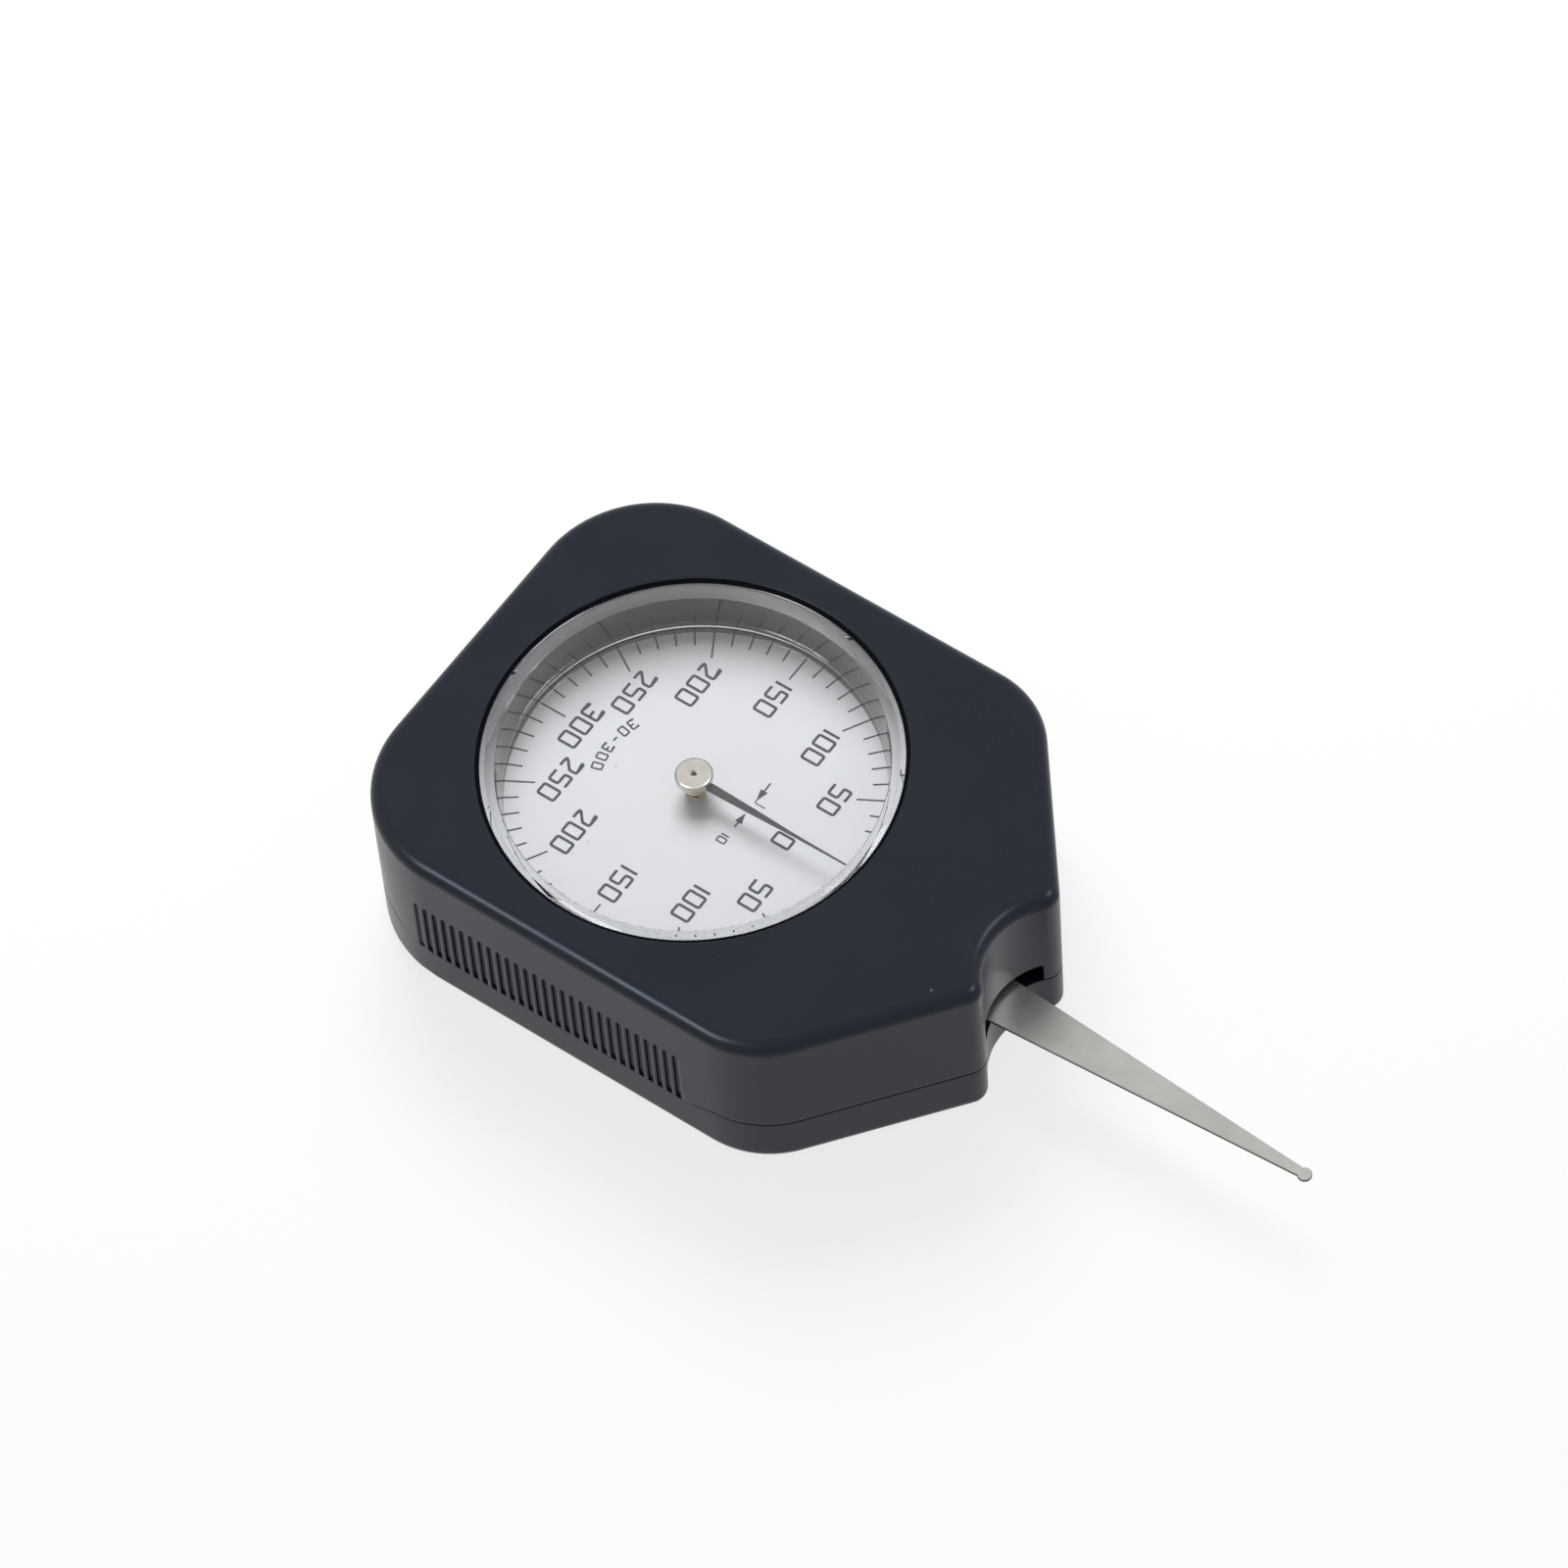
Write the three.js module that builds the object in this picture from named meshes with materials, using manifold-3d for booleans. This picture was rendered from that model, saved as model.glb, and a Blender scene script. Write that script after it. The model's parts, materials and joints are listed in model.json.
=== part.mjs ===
// A pocket dial tension gauge. A steel feeler swings in a slot at the nose of a ribbed
// plastic case. A toothed sector on the feeler's shaft turns the pinion under the pointer.
// Millimetres. X runs towards the nose and Z out of the dial. The origin is the point of
// the flat back face that lies under the pointer's axis.
import * as THREE from "three";
import { mergeGeometries, mergeVertices } from "three/addons/utils/BufferGeometryUtils.js";
import Module from "manifold-3d";

const wasm = await Module();
wasm.setup();

// Facet counts
const roundSteps = 60;
const shaftSteps = 14;
const screwSteps = 12;
const cornerSteps = 7;
const tipSteps = 5;
const edgeSteps = 3;
const spiralSteps = 16;
const flankSteps = 3;

// Fits shared by the whole gauge
const fitGap = 0.1;
const runGap = 0.15;
const cutOverrun = 0.5;

// Case outline
const caseWidth = 60;
const caseThickness = 24;
const sideRim = 4.8;
const backRim = 6.6;
const backCornerRadius = 15;
const shoulderReach = 28.7;
const shoulderRadius = 12;
const noseTipReach = 43.5;
const noseTipHalfWidth = 7.707;
const noseTipRadius = 2.2;
const innerTipRadius = 0.6;
const noseArcRadius = 9.2;
const caseEdgeRadius = 1.6;
const caseWall = 2.2;

// Parting line between the two case halves
const seamDip = 1.15;
const dipHalfLength = 19.2;
const dipRampLength = 4.6;
const seamGrooveWidth = 0.22;
const seamGrooveDepth = 0.3;
const lipGap = 0.15;
const lipWall = 1;
const lipHeight = 1.1;

// Grip ribs on the long sides
const grooveCount = 29;
const groovePitch = 1.307;
const grooveWidth = 0.68;
const grooveDepth = 0.55;
const grooveTop = 15.5;

// Slot for the feeler in the nose
const slotGap = 0.6;
const slotHeight = 2.75;
const lipSlotMargin = 1.5;

// Dial opening and crystal
const openingRimWall = 3;
const dialDepth = 7.7;
const dialThickness = 0.8;
const dialRimInset = 0.2;
const crystalGap = 0.35;
const crystalSink = 0.1;
const crystalSkirt = 1.95;
const crystalThickness = 1.5;
const crystalBevel = 0.55;
const flangeWidth = 1.55;
const flangeThickness = 1.5;
const flangeGap = 0.3;
const dialHoleRadius = 1.2;
const dialFootRadius = 0.7;
const dialFootLength = 1;
const dialFootReach = 13.5;

// Case screws, driven in from the back
const caseBossRadius = 2.8;
const rearScrewInset = 9.3;
const frontScrewSetback = 3.2;
const frontScrewInset = 8.5;
const caseScrewHeadRadius = 2.1;
const caseScrewHeadHeight = 1.3;
const caseScrewSink = 0.4;
const caseScrewRadius = 1.1;
const caseScrewLength = 13;
const caseScrewPocket = 1;

// Movement plates and the pillars between them
const coverFloor = 2;
const postHeight = 1.2;
const postRadius = 2.2;
const plateThickness = 1.2;
const plateBackReach = 13;
const plateHalfWidth = 17;
const plateShoulderSetback = 20;
const plateNoseHalfWidth = 9;
const plateNoseGap = 1.2;
const plateCornerRadius = 3;
const pillarRadius = 2;
const rearPillarInset = 4;
const frontPillarSetback = 10;
const frontPillarInset = 5;
const plateScrewRadius = 0.7;
const plateScrewHeadRadius = 1.3;
const plateScrewHeadHeight = 0.7;
const pillarPocket = 0.5;
const pillarGripShare = 0.35;
const rearPostInset = 4;
const frontPostSetback = 17;
const frontPostInset = 6;
const postScrewLength = 2.8;
const postPocket = 0.2;

// Feeler, its hub and its shaft
const pivotSetback = 6.5;
const feelerReach = 50.8;
const bladeThickness = 0.4;
const bladeRise = 1.55;
const bladeRootHalfWidth = 3.63;
const bladeTipHalfWidth = 0.6;
const contactRadius = 0.87;
const hubFlangeLeast = 0.8;
const hubFlangeShare = 0.23;
const hubNeckRadius = 1.6;
const hubFootHeight = 0.6;
const armShaftRadius = 1;
const armPivotRadius = 0.6;
const armScrewMargin = 0.88;
const armScrewRadius = 0.4;
const armScrewTail = 0.4;
const armScrewHeadRadius = 0.75;
const armScrewHeadHeight = 0.5;

// Toothed sector and pinion
const pinionTeeth = 10;
const sectorFullTeeth = 160;
const sectorTeeth = 13;
const pressureAngle = THREE.MathUtils.degToRad(20);
const pinionShiftShare = 0.35;
const addendumShare = 0.95;
const dedendumShare = 1.25;
const backlash = 0.07;
const sectorThickness = 1;
const sectorHubRadius = 4.2;
const sectorSpokeWidth = 2.4;
const sectorRimWidth = 2.6;
const sectorWindowGap = 4.5;
const sectorEndMargin = 0.35;
const pinionOverhang = 0.6;
const pinionGap = 0.6;
const pointerSweep = Math.PI;

// Pointer, its hub and its arbor
const arborRadius = 0.7;
const arborPivotRadius = 0.4;
const pointerCapRadius = 2.2;
const pointerCapHeight = 1.1;
const pointerCapEdge = 0.35;
const pointerCapDepth = 3.8;
const capBoreRadius = 0.3;
const capSpigotRadius = 0.9;
const pointerThickness = 0.2;
const pointerEyeRadius = 1.7;
const pointerGap = 1.15;
const pointerRootHalfWidth = 0.42;
const pointerBellyHalfWidth = 0.52;
const pointerTipHalfWidth = 0.1;
const pointerBellyShare = 0.36;
const pointerNeckShare = 0.6;
const pointerNeckWidthShare = 0.45;
const collarRadius = 1.5;
const collarGap = 0.9;
const arborTipSink = 0.25;

// Bearing bushes and stop pins
const armBushRadius = 1.6;
const arborBushRadius = 1.3;
const bushFlangeWidth = 0.7;
const bushFlangeThickness = 0.4;
const endPlay = 0.15;
const stopRadius = 0.8;
const stopGap = 0.1;
const stopRise = 0.4;

// Measuring spring and hairspring
const springTurns = 3.25;
const springNoseGap = 0.9;
const springStrip = 0.35;
const springHeightShare = 0.35;
const springColletRadius = 1.8;
const springColletMargin = 0.2;
const springLiftShare = 0.15;
const springGap = 0.3;
const springStudRadius = 0.7;
const hairTurns = 3.5;
const hairOuterRadius = 5.4;
const hairStrip = 0.16;
const hairHeight = 0.6;
const hairColletRadius = 1.25;
const hairStudRadius = 0.5;
const hairLiftShare = 0.6;

// Outline and places worked out from the sizes above
const openingRadius = caseWidth / 2 - sideRim;
const backReach = openingRadius + backRim;
const noseRun = noseTipReach - shoulderReach;
const noseFall = caseWidth / 2 - noseTipHalfWidth;
const noseSlope =
  Math.acos(noseTipRadius / Math.hypot(noseRun, noseFall)) - Math.atan2(noseRun, noseFall);
const noseArcReach =
  noseTipReach + Math.sqrt((noseArcRadius + noseTipRadius) ** 2 - noseTipHalfWidth ** 2);
const noseInnerReach = noseArcReach - noseArcRadius - caseWall;
const pivotReach = noseInnerReach - pivotSetback;
const plateShoulderReach = pivotReach - plateShoulderSetback;
const coverInset = caseWall + lipGap + lipWall;
const crystalRadius = openingRadius - crystalGap;
const crystalInnerRadius = crystalRadius - crystalSkirt;
const flangeRadius = crystalRadius + flangeWidth;
const pointerReach = crystalInnerRadius - pointerGap;
const springOuterRadius = pivotSetback - springNoseGap;
const armScrewReach = bladeRootHalfWidth - armScrewMargin;

// Gear train and the slot that its swing needs
const toothModule = (2 * pivotReach) / (pinionTeeth + sectorFullTeeth);
const pinionPitchRadius = (toothModule * pinionTeeth) / 2;
const sectorPitchRadius = (toothModule * sectorFullTeeth) / 2;
const feelerSwing = (pointerSweep * pinionTeeth) / sectorFullTeeth;
const slotRun = noseTipReach + noseTipRadius - pivotReach;
const bladeTaper = (bladeRootHalfWidth - bladeTipHalfWidth) / feelerReach;
const slotHalfWidth =
  slotRun * Math.tan(feelerSwing) +
  (bladeRootHalfWidth - bladeTaper * slotRun) / Math.cos(feelerSwing) + slotGap;

// Levels from the cover's floor up to the dial and the crystal
const dialTop = caseThickness - dialDepth;
const upperPlateTop = dialTop - dialThickness;
const upperPlateBottom = upperPlateTop - plateThickness;
const lowerPlateBottom = coverFloor + postHeight;
const lowerPlateTop = lowerPlateBottom + plateThickness;
const pillarHeight = upperPlateBottom - lowerPlateTop;
const pillarGrip = pillarHeight * pillarGripShare;
const plateScrewLength = plateThickness - plateScrewHeadHeight + pillarGrip;
const rimBottom = dialTop - dialThickness / 2;
const crystalTop = caseThickness - crystalSink;
const capTop = caseThickness - pointerCapDepth;
const capBottom = capTop - pointerCapHeight;
const needleBottom = capBottom - pointerThickness;

// Levels between the two plates: pinion and sector, hub, feeler and the springs
const pinionBottom = lowerPlateTop + bushFlangeThickness + pinionGap;
const sectorBottom = pinionBottom + pinionOverhang;
const sectorTop = sectorBottom + sectorThickness;
const pinionTop = sectorTop + pinionOverhang;
const bushBottom = upperPlateBottom - bushFlangeThickness;
const leastHubTop = sectorTop + hubFlangeLeast;
const freeHeight = bushBottom - leastHubTop - bladeThickness - armScrewHeadHeight;
const bladeBottom = leastHubTop + freeHeight * hubFlangeShare;
const bladeTop = bladeBottom + bladeThickness;
const seamHeight = bladeBottom - bladeRise;
const springBottom = bladeTop + armScrewHeadHeight + freeHeight * springLiftShare;
const springHeight = freeHeight * springHeightShare;
const hairBottom = pinionTop + (bushBottom - pinionTop) * hairLiftShare;
const armScrewLength = bladeTop - sectorBottom - armScrewTail;

// Colours and finishes
const casePlastic = { color: 0x2f323b, roughness: 0.55, metalness: 0 };
const clearPlastic = { color: 0xf2f5f6, roughness: 0.08, metalness: 0, transparent: true, opacity: 0.3 };
const dialPaint = { color: 0xdcdee2, roughness: 0.6, metalness: 0.1 };
const brass = { color: 0xb59a5c, roughness: 0.35, metalness: 1 };
const steel = { color: 0xb4b2ae, roughness: 0.32, metalness: 1 };
const springSteel = { color: 0x5d6066, roughness: 0.4, metalness: 1 };
const nickel = { color: 0xd3cec2, roughness: 0.2, metalness: 1 };
const pointerPaint = { color: 0x3a3d42, roughness: 0.5, metalness: 0 };

// Closed geometry with shared corners and no collapsed triangles.
function closed(geometry) {
  const bare = new THREE.BufferGeometry();
  bare.setAttribute("position", geometry.getAttribute("position"));
  bare.setIndex(geometry.getIndex());
  const merged = mergeVertices(bare);
  const index = merged.getIndex().array;
  const kept = [];
  for (let i = 0; i < index.length; i += 3) {
    const [a, b, c] = index.slice(i, i + 3);
    if (a !== b && b !== c && c !== a) kept.push(a, b, c);
  }
  merged.setIndex(kept);
  return merged;
}

function toSolid(geometry) {
  const mesh = closed(geometry);
  return new wasm.Manifold(
    new wasm.Mesh({
      numProp: 3,
      vertProperties: mesh.getAttribute("position").array,
      triVerts: new Uint32Array(mesh.getIndex().array),
    }),
  );
}

function toGeometry(solid) {
  const mesh = solid.getMesh();
  const geometry = new THREE.BufferGeometry();
  geometry.setAttribute("position", new THREE.BufferAttribute(mesh.vertProperties, 3));
  geometry.setIndex(Array.from(mesh.triVerts));
  return geometry;
}

function cut(base, ...tools) {
  return toGeometry(tools.reduce((solid, tool) => solid.subtract(toSolid(tool)), toSolid(base)));
}

function join(base, ...others) {
  return toGeometry(others.reduce((solid, other) => solid.add(toSolid(other)), toSolid(base)));
}

function common(a, b) {
  return toGeometry(toSolid(a).intersect(toSolid(b)));
}

// One geometry that holds several separate bodies, used to cut many holes at once.
function together(geometries) {
  return mergeGeometries(geometries.map((geometry) => closed(geometry)));
}

function prism(shape, bottom, top) {
  const geometry = new THREE.ExtrudeGeometry(shape, { depth: top - bottom, bevelEnabled: false });
  return geometry.translate(0, 0, bottom);
}

function rod(radius, bottom, top, x = 0, y = 0, steps = shaftSteps) {
  const geometry = new THREE.CylinderGeometry(radius, radius, top - bottom, steps);
  return geometry.rotateX(Math.PI / 2).translate(x, y, (top + bottom) / 2);
}

function block(x0, x1, y0, y1, z0, z1) {
  const geometry = new THREE.BoxGeometry(x1 - x0, y1 - y0, z1 - z0);
  return geometry.translate((x0 + x1) / 2, (y0 + y1) / 2, (z0 + z1) / 2);
}

// A profile of [radius, height] pairs, listed upwards on its outside, turned about Z.
function turned(profile, steps = shaftSteps) {
  const points = profile.map(([radius, height]) => new THREE.Vector2(radius, height));
  return new THREE.LatheGeometry(points, steps).rotateX(Math.PI / 2);
}

function turnedRing(profile, steps = shaftSteps) {
  return turned([...profile, profile[0]], steps);
}

function arcPoints(x, y, radius, from, to, steps) {
  const points = [];
  for (let i = 0; i <= steps; i += 1) {
    const angle = from + ((to - from) * i) / steps;
    points.push(new THREE.Vector2(x + radius * Math.cos(angle), y + radius * Math.sin(angle)));
  }
  return points;
}

function polar(radius, angle) {
  return new THREE.Vector2(radius * Math.cos(angle), radius * Math.sin(angle));
}

function mirrored(points) {
  return points.map((point) => new THREE.Vector2(point.x, -point.y)).reverse();
}

// The case seen from above, drawn in by inset all round: a flat back with wide corners,
// straight sides, sloping shoulders and a nose with a hollow arc between two round tips.
function caseOutline(inset) {
  const half = caseWidth / 2 - inset;
  const backRadius = backCornerRadius - inset;
  const sideRadius = shoulderRadius - inset;
  const tipRadius = Math.max(noseTipRadius - inset, innerTipRadius);
  const outward = new THREE.Vector2(Math.sin(noseSlope), Math.cos(noseSlope));
  const along = new THREE.Vector2(Math.cos(noseSlope), -Math.sin(noseSlope));
  const faceReach = shoulderReach * outward.x + (caseWidth / 2) * outward.y - inset;
  const hollow = noseArcRadius + inset;
  const tipFace = faceReach - tipRadius;
  const tipRun =
    noseArcReach * along.x -
    Math.sqrt((hollow + tipRadius) ** 2 - (tipFace - noseArcReach * outward.x) ** 2);
  const tip = outward.clone().multiplyScalar(tipFace).addScaledVector(along, tipRun);
  const meet = Math.atan2(tip.y, tip.x - noseArcReach);
  const faceAngle = Math.atan2(outward.y, outward.x);
  const sideY = half - sideRadius;
  const sideX = (faceReach - sideRadius - sideY * outward.y) / outward.x;
  const upper = [
    ...arcPoints(noseArcReach, 0, hollow, Math.PI, meet, cornerSteps).slice(1),
    ...arcPoints(tip.x, tip.y, tipRadius, meet - Math.PI, faceAngle, tipSteps).slice(1),
    ...arcPoints(sideX, sideY, sideRadius, faceAngle, Math.PI / 2, cornerSteps),
    ...arcPoints(
      inset - backReach + backRadius, half - backRadius, backRadius, Math.PI / 2, Math.PI, cornerSteps,
    ),
  ];
  const middle = new THREE.Vector2(noseArcReach - hollow, 0);
  return new THREE.Shape([middle, ...upper, ...mirrored(upper)]);
}

// The whole outside of the case, both halves, with rounded top and bottom edges.
function caseBlank() {
  const geometry = new THREE.ExtrudeGeometry(caseOutline(0), {
    depth: caseThickness - 2 * caseEdgeRadius,
    bevelThickness: caseEdgeRadius,
    bevelSize: caseEdgeRadius,
    bevelOffset: -caseEdgeRadius,
    bevelSegments: edgeSteps,
  });
  return geometry.translate(0, 0, caseEdgeRadius);
}

// Everything below the parting line, which dips along the two long sides.
function belowSeam() {
  const far = noseArcReach + backReach;
  const lower = block(-far, far, -far, far, -cutOverrun, seamHeight);
  const floor = seamHeight - seamDip;
  const ramp = dipHalfLength + dipRampLength;
  const dip = new THREE.Shape([
    new THREE.Vector2(-dipHalfLength, floor),
    new THREE.Vector2(dipHalfLength, floor),
    new THREE.Vector2(ramp, seamHeight),
    new THREE.Vector2(ramp, seamHeight + cutOverrun),
    new THREE.Vector2(-ramp, seamHeight + cutOverrun),
    new THREE.Vector2(-ramp, seamHeight),
  ]);
  const side = caseWidth / 2 - caseWall - lipGap;
  const nearDip = prism(dip, side, caseWidth / 2 + cutOverrun).rotateX(Math.PI / 2);
  const farDip = nearDip.clone().rotateZ(Math.PI);
  return cut(lower, nearDip, farDip);
}

// The two places of a pair that mirror each other across the long axis.
function pair(x, y) {
  return [[x, y], [x, -y]];
}

const caseScrewPlaces = [
  ...pair(rearScrewInset - backReach, caseWidth / 2 - rearScrewInset),
  ...pair(shoulderReach - frontScrewSetback, caseWidth / 2 - frontScrewInset),
];
const pillarPlaces = [
  ...pair(rearPillarInset - plateBackReach, plateHalfWidth - rearPillarInset),
  ...pair(pivotReach - frontPillarSetback, plateHalfWidth - frontPillarInset),
];
const postPlaces = [
  [rearPostInset - plateBackReach, 0],
  ...pair(pivotReach - frontPostSetback, plateHalfWidth - frontPostInset),
];
const dialFootPlaces = pair(0, dialFootReach);

function rodsAt(places, radius, bottom, top) {
  return together(places.map(([x, y]) => rod(radius, bottom, top, x, y, screwSteps)));
}

// Grooves between the grip ribs of both long sides, round at the top and open at the seam.
function gripGrooves() {
  const half = grooveWidth / 2;
  const bottom = seamHeight - seamDip - cutOverrun;
  const outline = new THREE.Shape([
    new THREE.Vector2(-half, bottom),
    new THREE.Vector2(half, bottom),
    ...arcPoints(0, grooveTop - half, half, 0, Math.PI, edgeSteps),
  ]);
  const inner = caseWidth / 2 - grooveDepth;
  const groove = prism(outline, inner, inner + grooveDepth + cutOverrun).rotateX(Math.PI / 2);
  const first = (-groovePitch * (grooveCount - 1)) / 2;
  const grooves = [];
  for (let i = 0; i < grooveCount; i += 1) {
    const near = groove.clone().translate(first + groovePitch * i, 0, 0);
    grooves.push(near, near.clone().rotateZ(Math.PI));
  }
  return together(grooves);
}

// A fine shadow line round the back and the nose, just above the parting line.
function seamGroove() {
  const top = seamHeight + seamGrooveWidth;
  const far = noseArcReach + backReach;
  const end = dipHalfLength + dipRampLength;
  const middle = block(-end, end, -far, far, seamHeight - cutOverrun, top + cutOverrun);
  const outer = prism(caseOutline(-cutOverrun), seamHeight - cutOverrun, top);
  const inner = prism(caseOutline(seamGrooveDepth), seamHeight - 2 * cutOverrun, top + cutOverrun);
  return cut(outer, inner, middle);
}

function frontCase(below) {
  const top = caseThickness + cutOverrun;
  const ceiling = caseThickness - caseWall;
  const inside = prism(caseOutline(caseWall), -cutOverrun, ceiling);
  const rim = rod(openingRadius + openingRimWall, rimBottom, ceiling + fitGap, 0, 0, roundSteps);
  const bosses = rodsAt(caseScrewPlaces, caseBossRadius, seamHeight, ceiling + fitGap);
  const holes = rodsAt(
    caseScrewPlaces, caseScrewRadius + fitGap, -cutOverrun,
    caseScrewSink + caseScrewLength + caseScrewHeadHeight + caseScrewPocket,
  );
  const opening = rod(openingRadius, -cutOverrun, top, 0, 0, roundSteps);
  const recess = rod(
    flangeRadius + flangeGap, -cutOverrun, dialTop + flangeThickness, 0, 0, roundSteps,
  );
  const slot = block(
    noseInnerReach - caseWall, noseArcReach, -slotHalfWidth, slotHalfWidth,
    -cutOverrun, seamHeight + slotHeight,
  );
  const shell = join(cut(caseBlank(), below, inside), bosses, rim);
  return cut(shell, holes, opening, recess, slot, gripGrooves(), seamGroove());
}

function backCover(below) {
  const far = seamHeight + lipHeight + cutOverrun;
  const lipTop = seamHeight + lipHeight;
  const inside = prism(caseOutline(coverInset), coverFloor, far);
  const lip = cut(
    prism(caseOutline(caseWall + lipGap), seamHeight - lipHeight, lipTop),
    prism(caseOutline(coverInset), 0, far),
    block(
      noseInnerReach - caseWall - lipWall, noseArcReach,
      -slotHalfWidth - lipSlotMargin, slotHalfWidth + lipSlotMargin, 0, far,
    ),
  );
  const bosses = rodsAt(caseScrewPlaces, caseBossRadius, coverFloor - fitGap, seamHeight);
  const posts = rodsAt(postPlaces, postRadius, coverFloor - fitGap, lowerPlateBottom);
  const tray = join(cut(common(caseBlank(), below), inside), lip, bosses, posts);
  const headTop = caseScrewSink + caseScrewHeadHeight;
  return cut(
    tray,
    rodsAt(caseScrewPlaces, caseScrewHeadRadius + fitGap, -cutOverrun, headTop),
    rodsAt(caseScrewPlaces, caseScrewRadius + fitGap, -cutOverrun, far),
    rodsAt(
      postPlaces, plateScrewRadius + fitGap,
      lowerPlateTop - postScrewLength - postPocket, lowerPlateTop,
    ),
  );
}

// Clear cup: a flat window with a bevelled edge, a skirt down to the dial and a foot flange.
function crystal() {
  const flangeTop = dialTop + flangeThickness;
  return turned([
    [0, crystalTop - crystalThickness],
    [crystalInnerRadius, crystalTop - crystalThickness],
    [crystalInnerRadius, dialTop],
    [flangeRadius, dialTop],
    [flangeRadius, flangeTop],
    [crystalRadius, flangeTop],
    [crystalRadius, crystalTop - crystalBevel],
    [crystalRadius - crystalBevel, crystalTop],
    [0, crystalTop],
  ], roundSteps);
}

function dialPlate() {
  const disc = rod(flangeRadius - dialRimInset, upperPlateTop, dialTop, 0, 0, roundSteps);
  const feet = rodsAt(dialFootPlaces, dialFootRadius, upperPlateTop - dialFootLength, dialTop - fitGap);
  return cut(join(disc, feet), rod(dialHoleRadius, 0, caseThickness));
}

// Movement plate outline: broad under the dial, drawn in towards the nose.
function plateOutline() {
  const front = noseInnerReach - plateNoseGap;
  const corner = plateCornerRadius;
  const run = front - plateShoulderReach;
  const lean = Math.atan2(run, plateHalfWidth - plateNoseHalfWidth);
  const upper = [
    ...arcPoints(front - corner, plateNoseHalfWidth - corner, corner, 0, lean, tipSteps),
    ...arcPoints(
      plateShoulderReach, plateHalfWidth - corner, corner, lean, Math.PI / 2, tipSteps,
    ),
    ...arcPoints(
      corner - plateBackReach, plateHalfWidth - corner, corner, Math.PI / 2, Math.PI, tipSteps,
    ),
  ];
  return new THREE.Shape([...upper, ...mirrored(upper)]);
}

function bushHoles() {
  return together([
    rod(arborBushRadius + fitGap, 0, caseThickness),
    rod(armBushRadius + fitGap, 0, caseThickness, pivotReach, 0),
  ]);
}

function lowerPlate() {
  return cut(
    prism(plateOutline(), lowerPlateBottom, lowerPlateTop),
    bushHoles(),
    rodsAt([...pillarPlaces, ...postPlaces], plateScrewRadius + fitGap, 0, caseThickness),
    rodsAt(
      pillarPlaces, plateScrewHeadRadius + fitGap, 0, lowerPlateBottom + plateScrewHeadHeight,
    ),
  );
}

function upperPlate() {
  return cut(
    prism(plateOutline(), upperPlateBottom, upperPlateTop),
    bushHoles(),
    rodsAt(pillarPlaces, plateScrewRadius + fitGap, 0, caseThickness),
    rodsAt(dialFootPlaces, dialFootRadius + fitGap, 0, caseThickness),
    rodsAt(
      pillarPlaces, plateScrewHeadRadius + fitGap, upperPlateTop - plateScrewHeadHeight,
      caseThickness,
    ),
  );
}

// A pillar with a blind screw hole in each end, standing on the lower plate.
function pillar() {
  const depth = pillarGrip + pillarPocket;
  const hole = plateScrewRadius + fitGap;
  return cut(
    rod(pillarRadius, 0, pillarHeight, 0, 0, screwSteps),
    rod(hole, -cutOverrun, depth, 0, 0, screwSteps),
    rod(hole, pillarHeight - depth, pillarHeight + cutOverrun, 0, 0, screwSteps),
  );
}

// Slotted cheese-head screw with the top of its head at zero and its shank pointing down.
function screw(headRadius, headHeight, shankRadius, length) {
  const slotWidth = headRadius / 3;
  const body = turned([
    [0, -headHeight - length],
    [shankRadius, -headHeight - length],
    [shankRadius, -headHeight],
    [headRadius, -headHeight],
    [headRadius, 0],
    [0, 0],
  ], screwSteps);
  const slot = block(
    -2 * headRadius, 2 * headRadius, -slotWidth / 2, slotWidth / 2, -headHeight / 2, headHeight,
  );
  return cut(body, slot);
}

// Bearing bush: a sleeve through a plate with a flange on its inner face. Up is 1 or -1.
function bush(sleeveRadius, boreRadius, up) {
  const flange = sleeveRadius + bushFlangeWidth;
  const face = up * plateThickness;
  const end = up * (plateThickness + bushFlangeThickness);
  const profile = [
    [boreRadius, 0],
    [sleeveRadius, 0],
    [sleeveRadius, face],
    [flange, face],
    [flange, end],
    [boreRadius, end],
  ];
  return turnedRing(up > 0 ? profile : profile.reverse());
}

// Half the angle that a tooth fills at a radius, for flanks that are involutes.
function halfToothAngle(radius, pitchRadius, toothWidth) {
  const base = pitchRadius * Math.cos(pressureAngle);
  const involute = (angle) => Math.tan(angle) - angle;
  const here = Math.acos(base / Math.max(radius, base));
  return toothWidth / (2 * pitchRadius) + involute(pressureAngle) - involute(here);
}

// Points of count teeth that stand on a circle, the middle of the run at angle zero.
function toothPoints(pitchRadius, fullCount, count, shiftShare) {
  const root = pitchRadius - toothModule * (dedendumShare - shiftShare);
  const tip = pitchRadius + toothModule * (addendumShare + shiftShare);
  const width =
    toothModule * (Math.PI / 2 + 2 * shiftShare * Math.tan(pressureAngle)) - backlash;
  const points = [];
  for (let tooth = 0; tooth < count; tooth += 1) {
    const centre = ((tooth - (count - 1) / 2) * 2 * Math.PI) / fullCount;
    const flank = [];
    for (let step = 0; step <= flankSteps; step += 1) {
      const radius = root + ((tip - root) * step) / flankSteps;
      flank.push([radius, halfToothAngle(radius, pitchRadius, width)]);
    }
    flank.forEach(([radius, half]) => points.push(polar(radius, centre - half)));
    flank.reverse().forEach(([radius, half]) => points.push(polar(radius, centre + half)));
  }
  return points;
}

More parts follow.
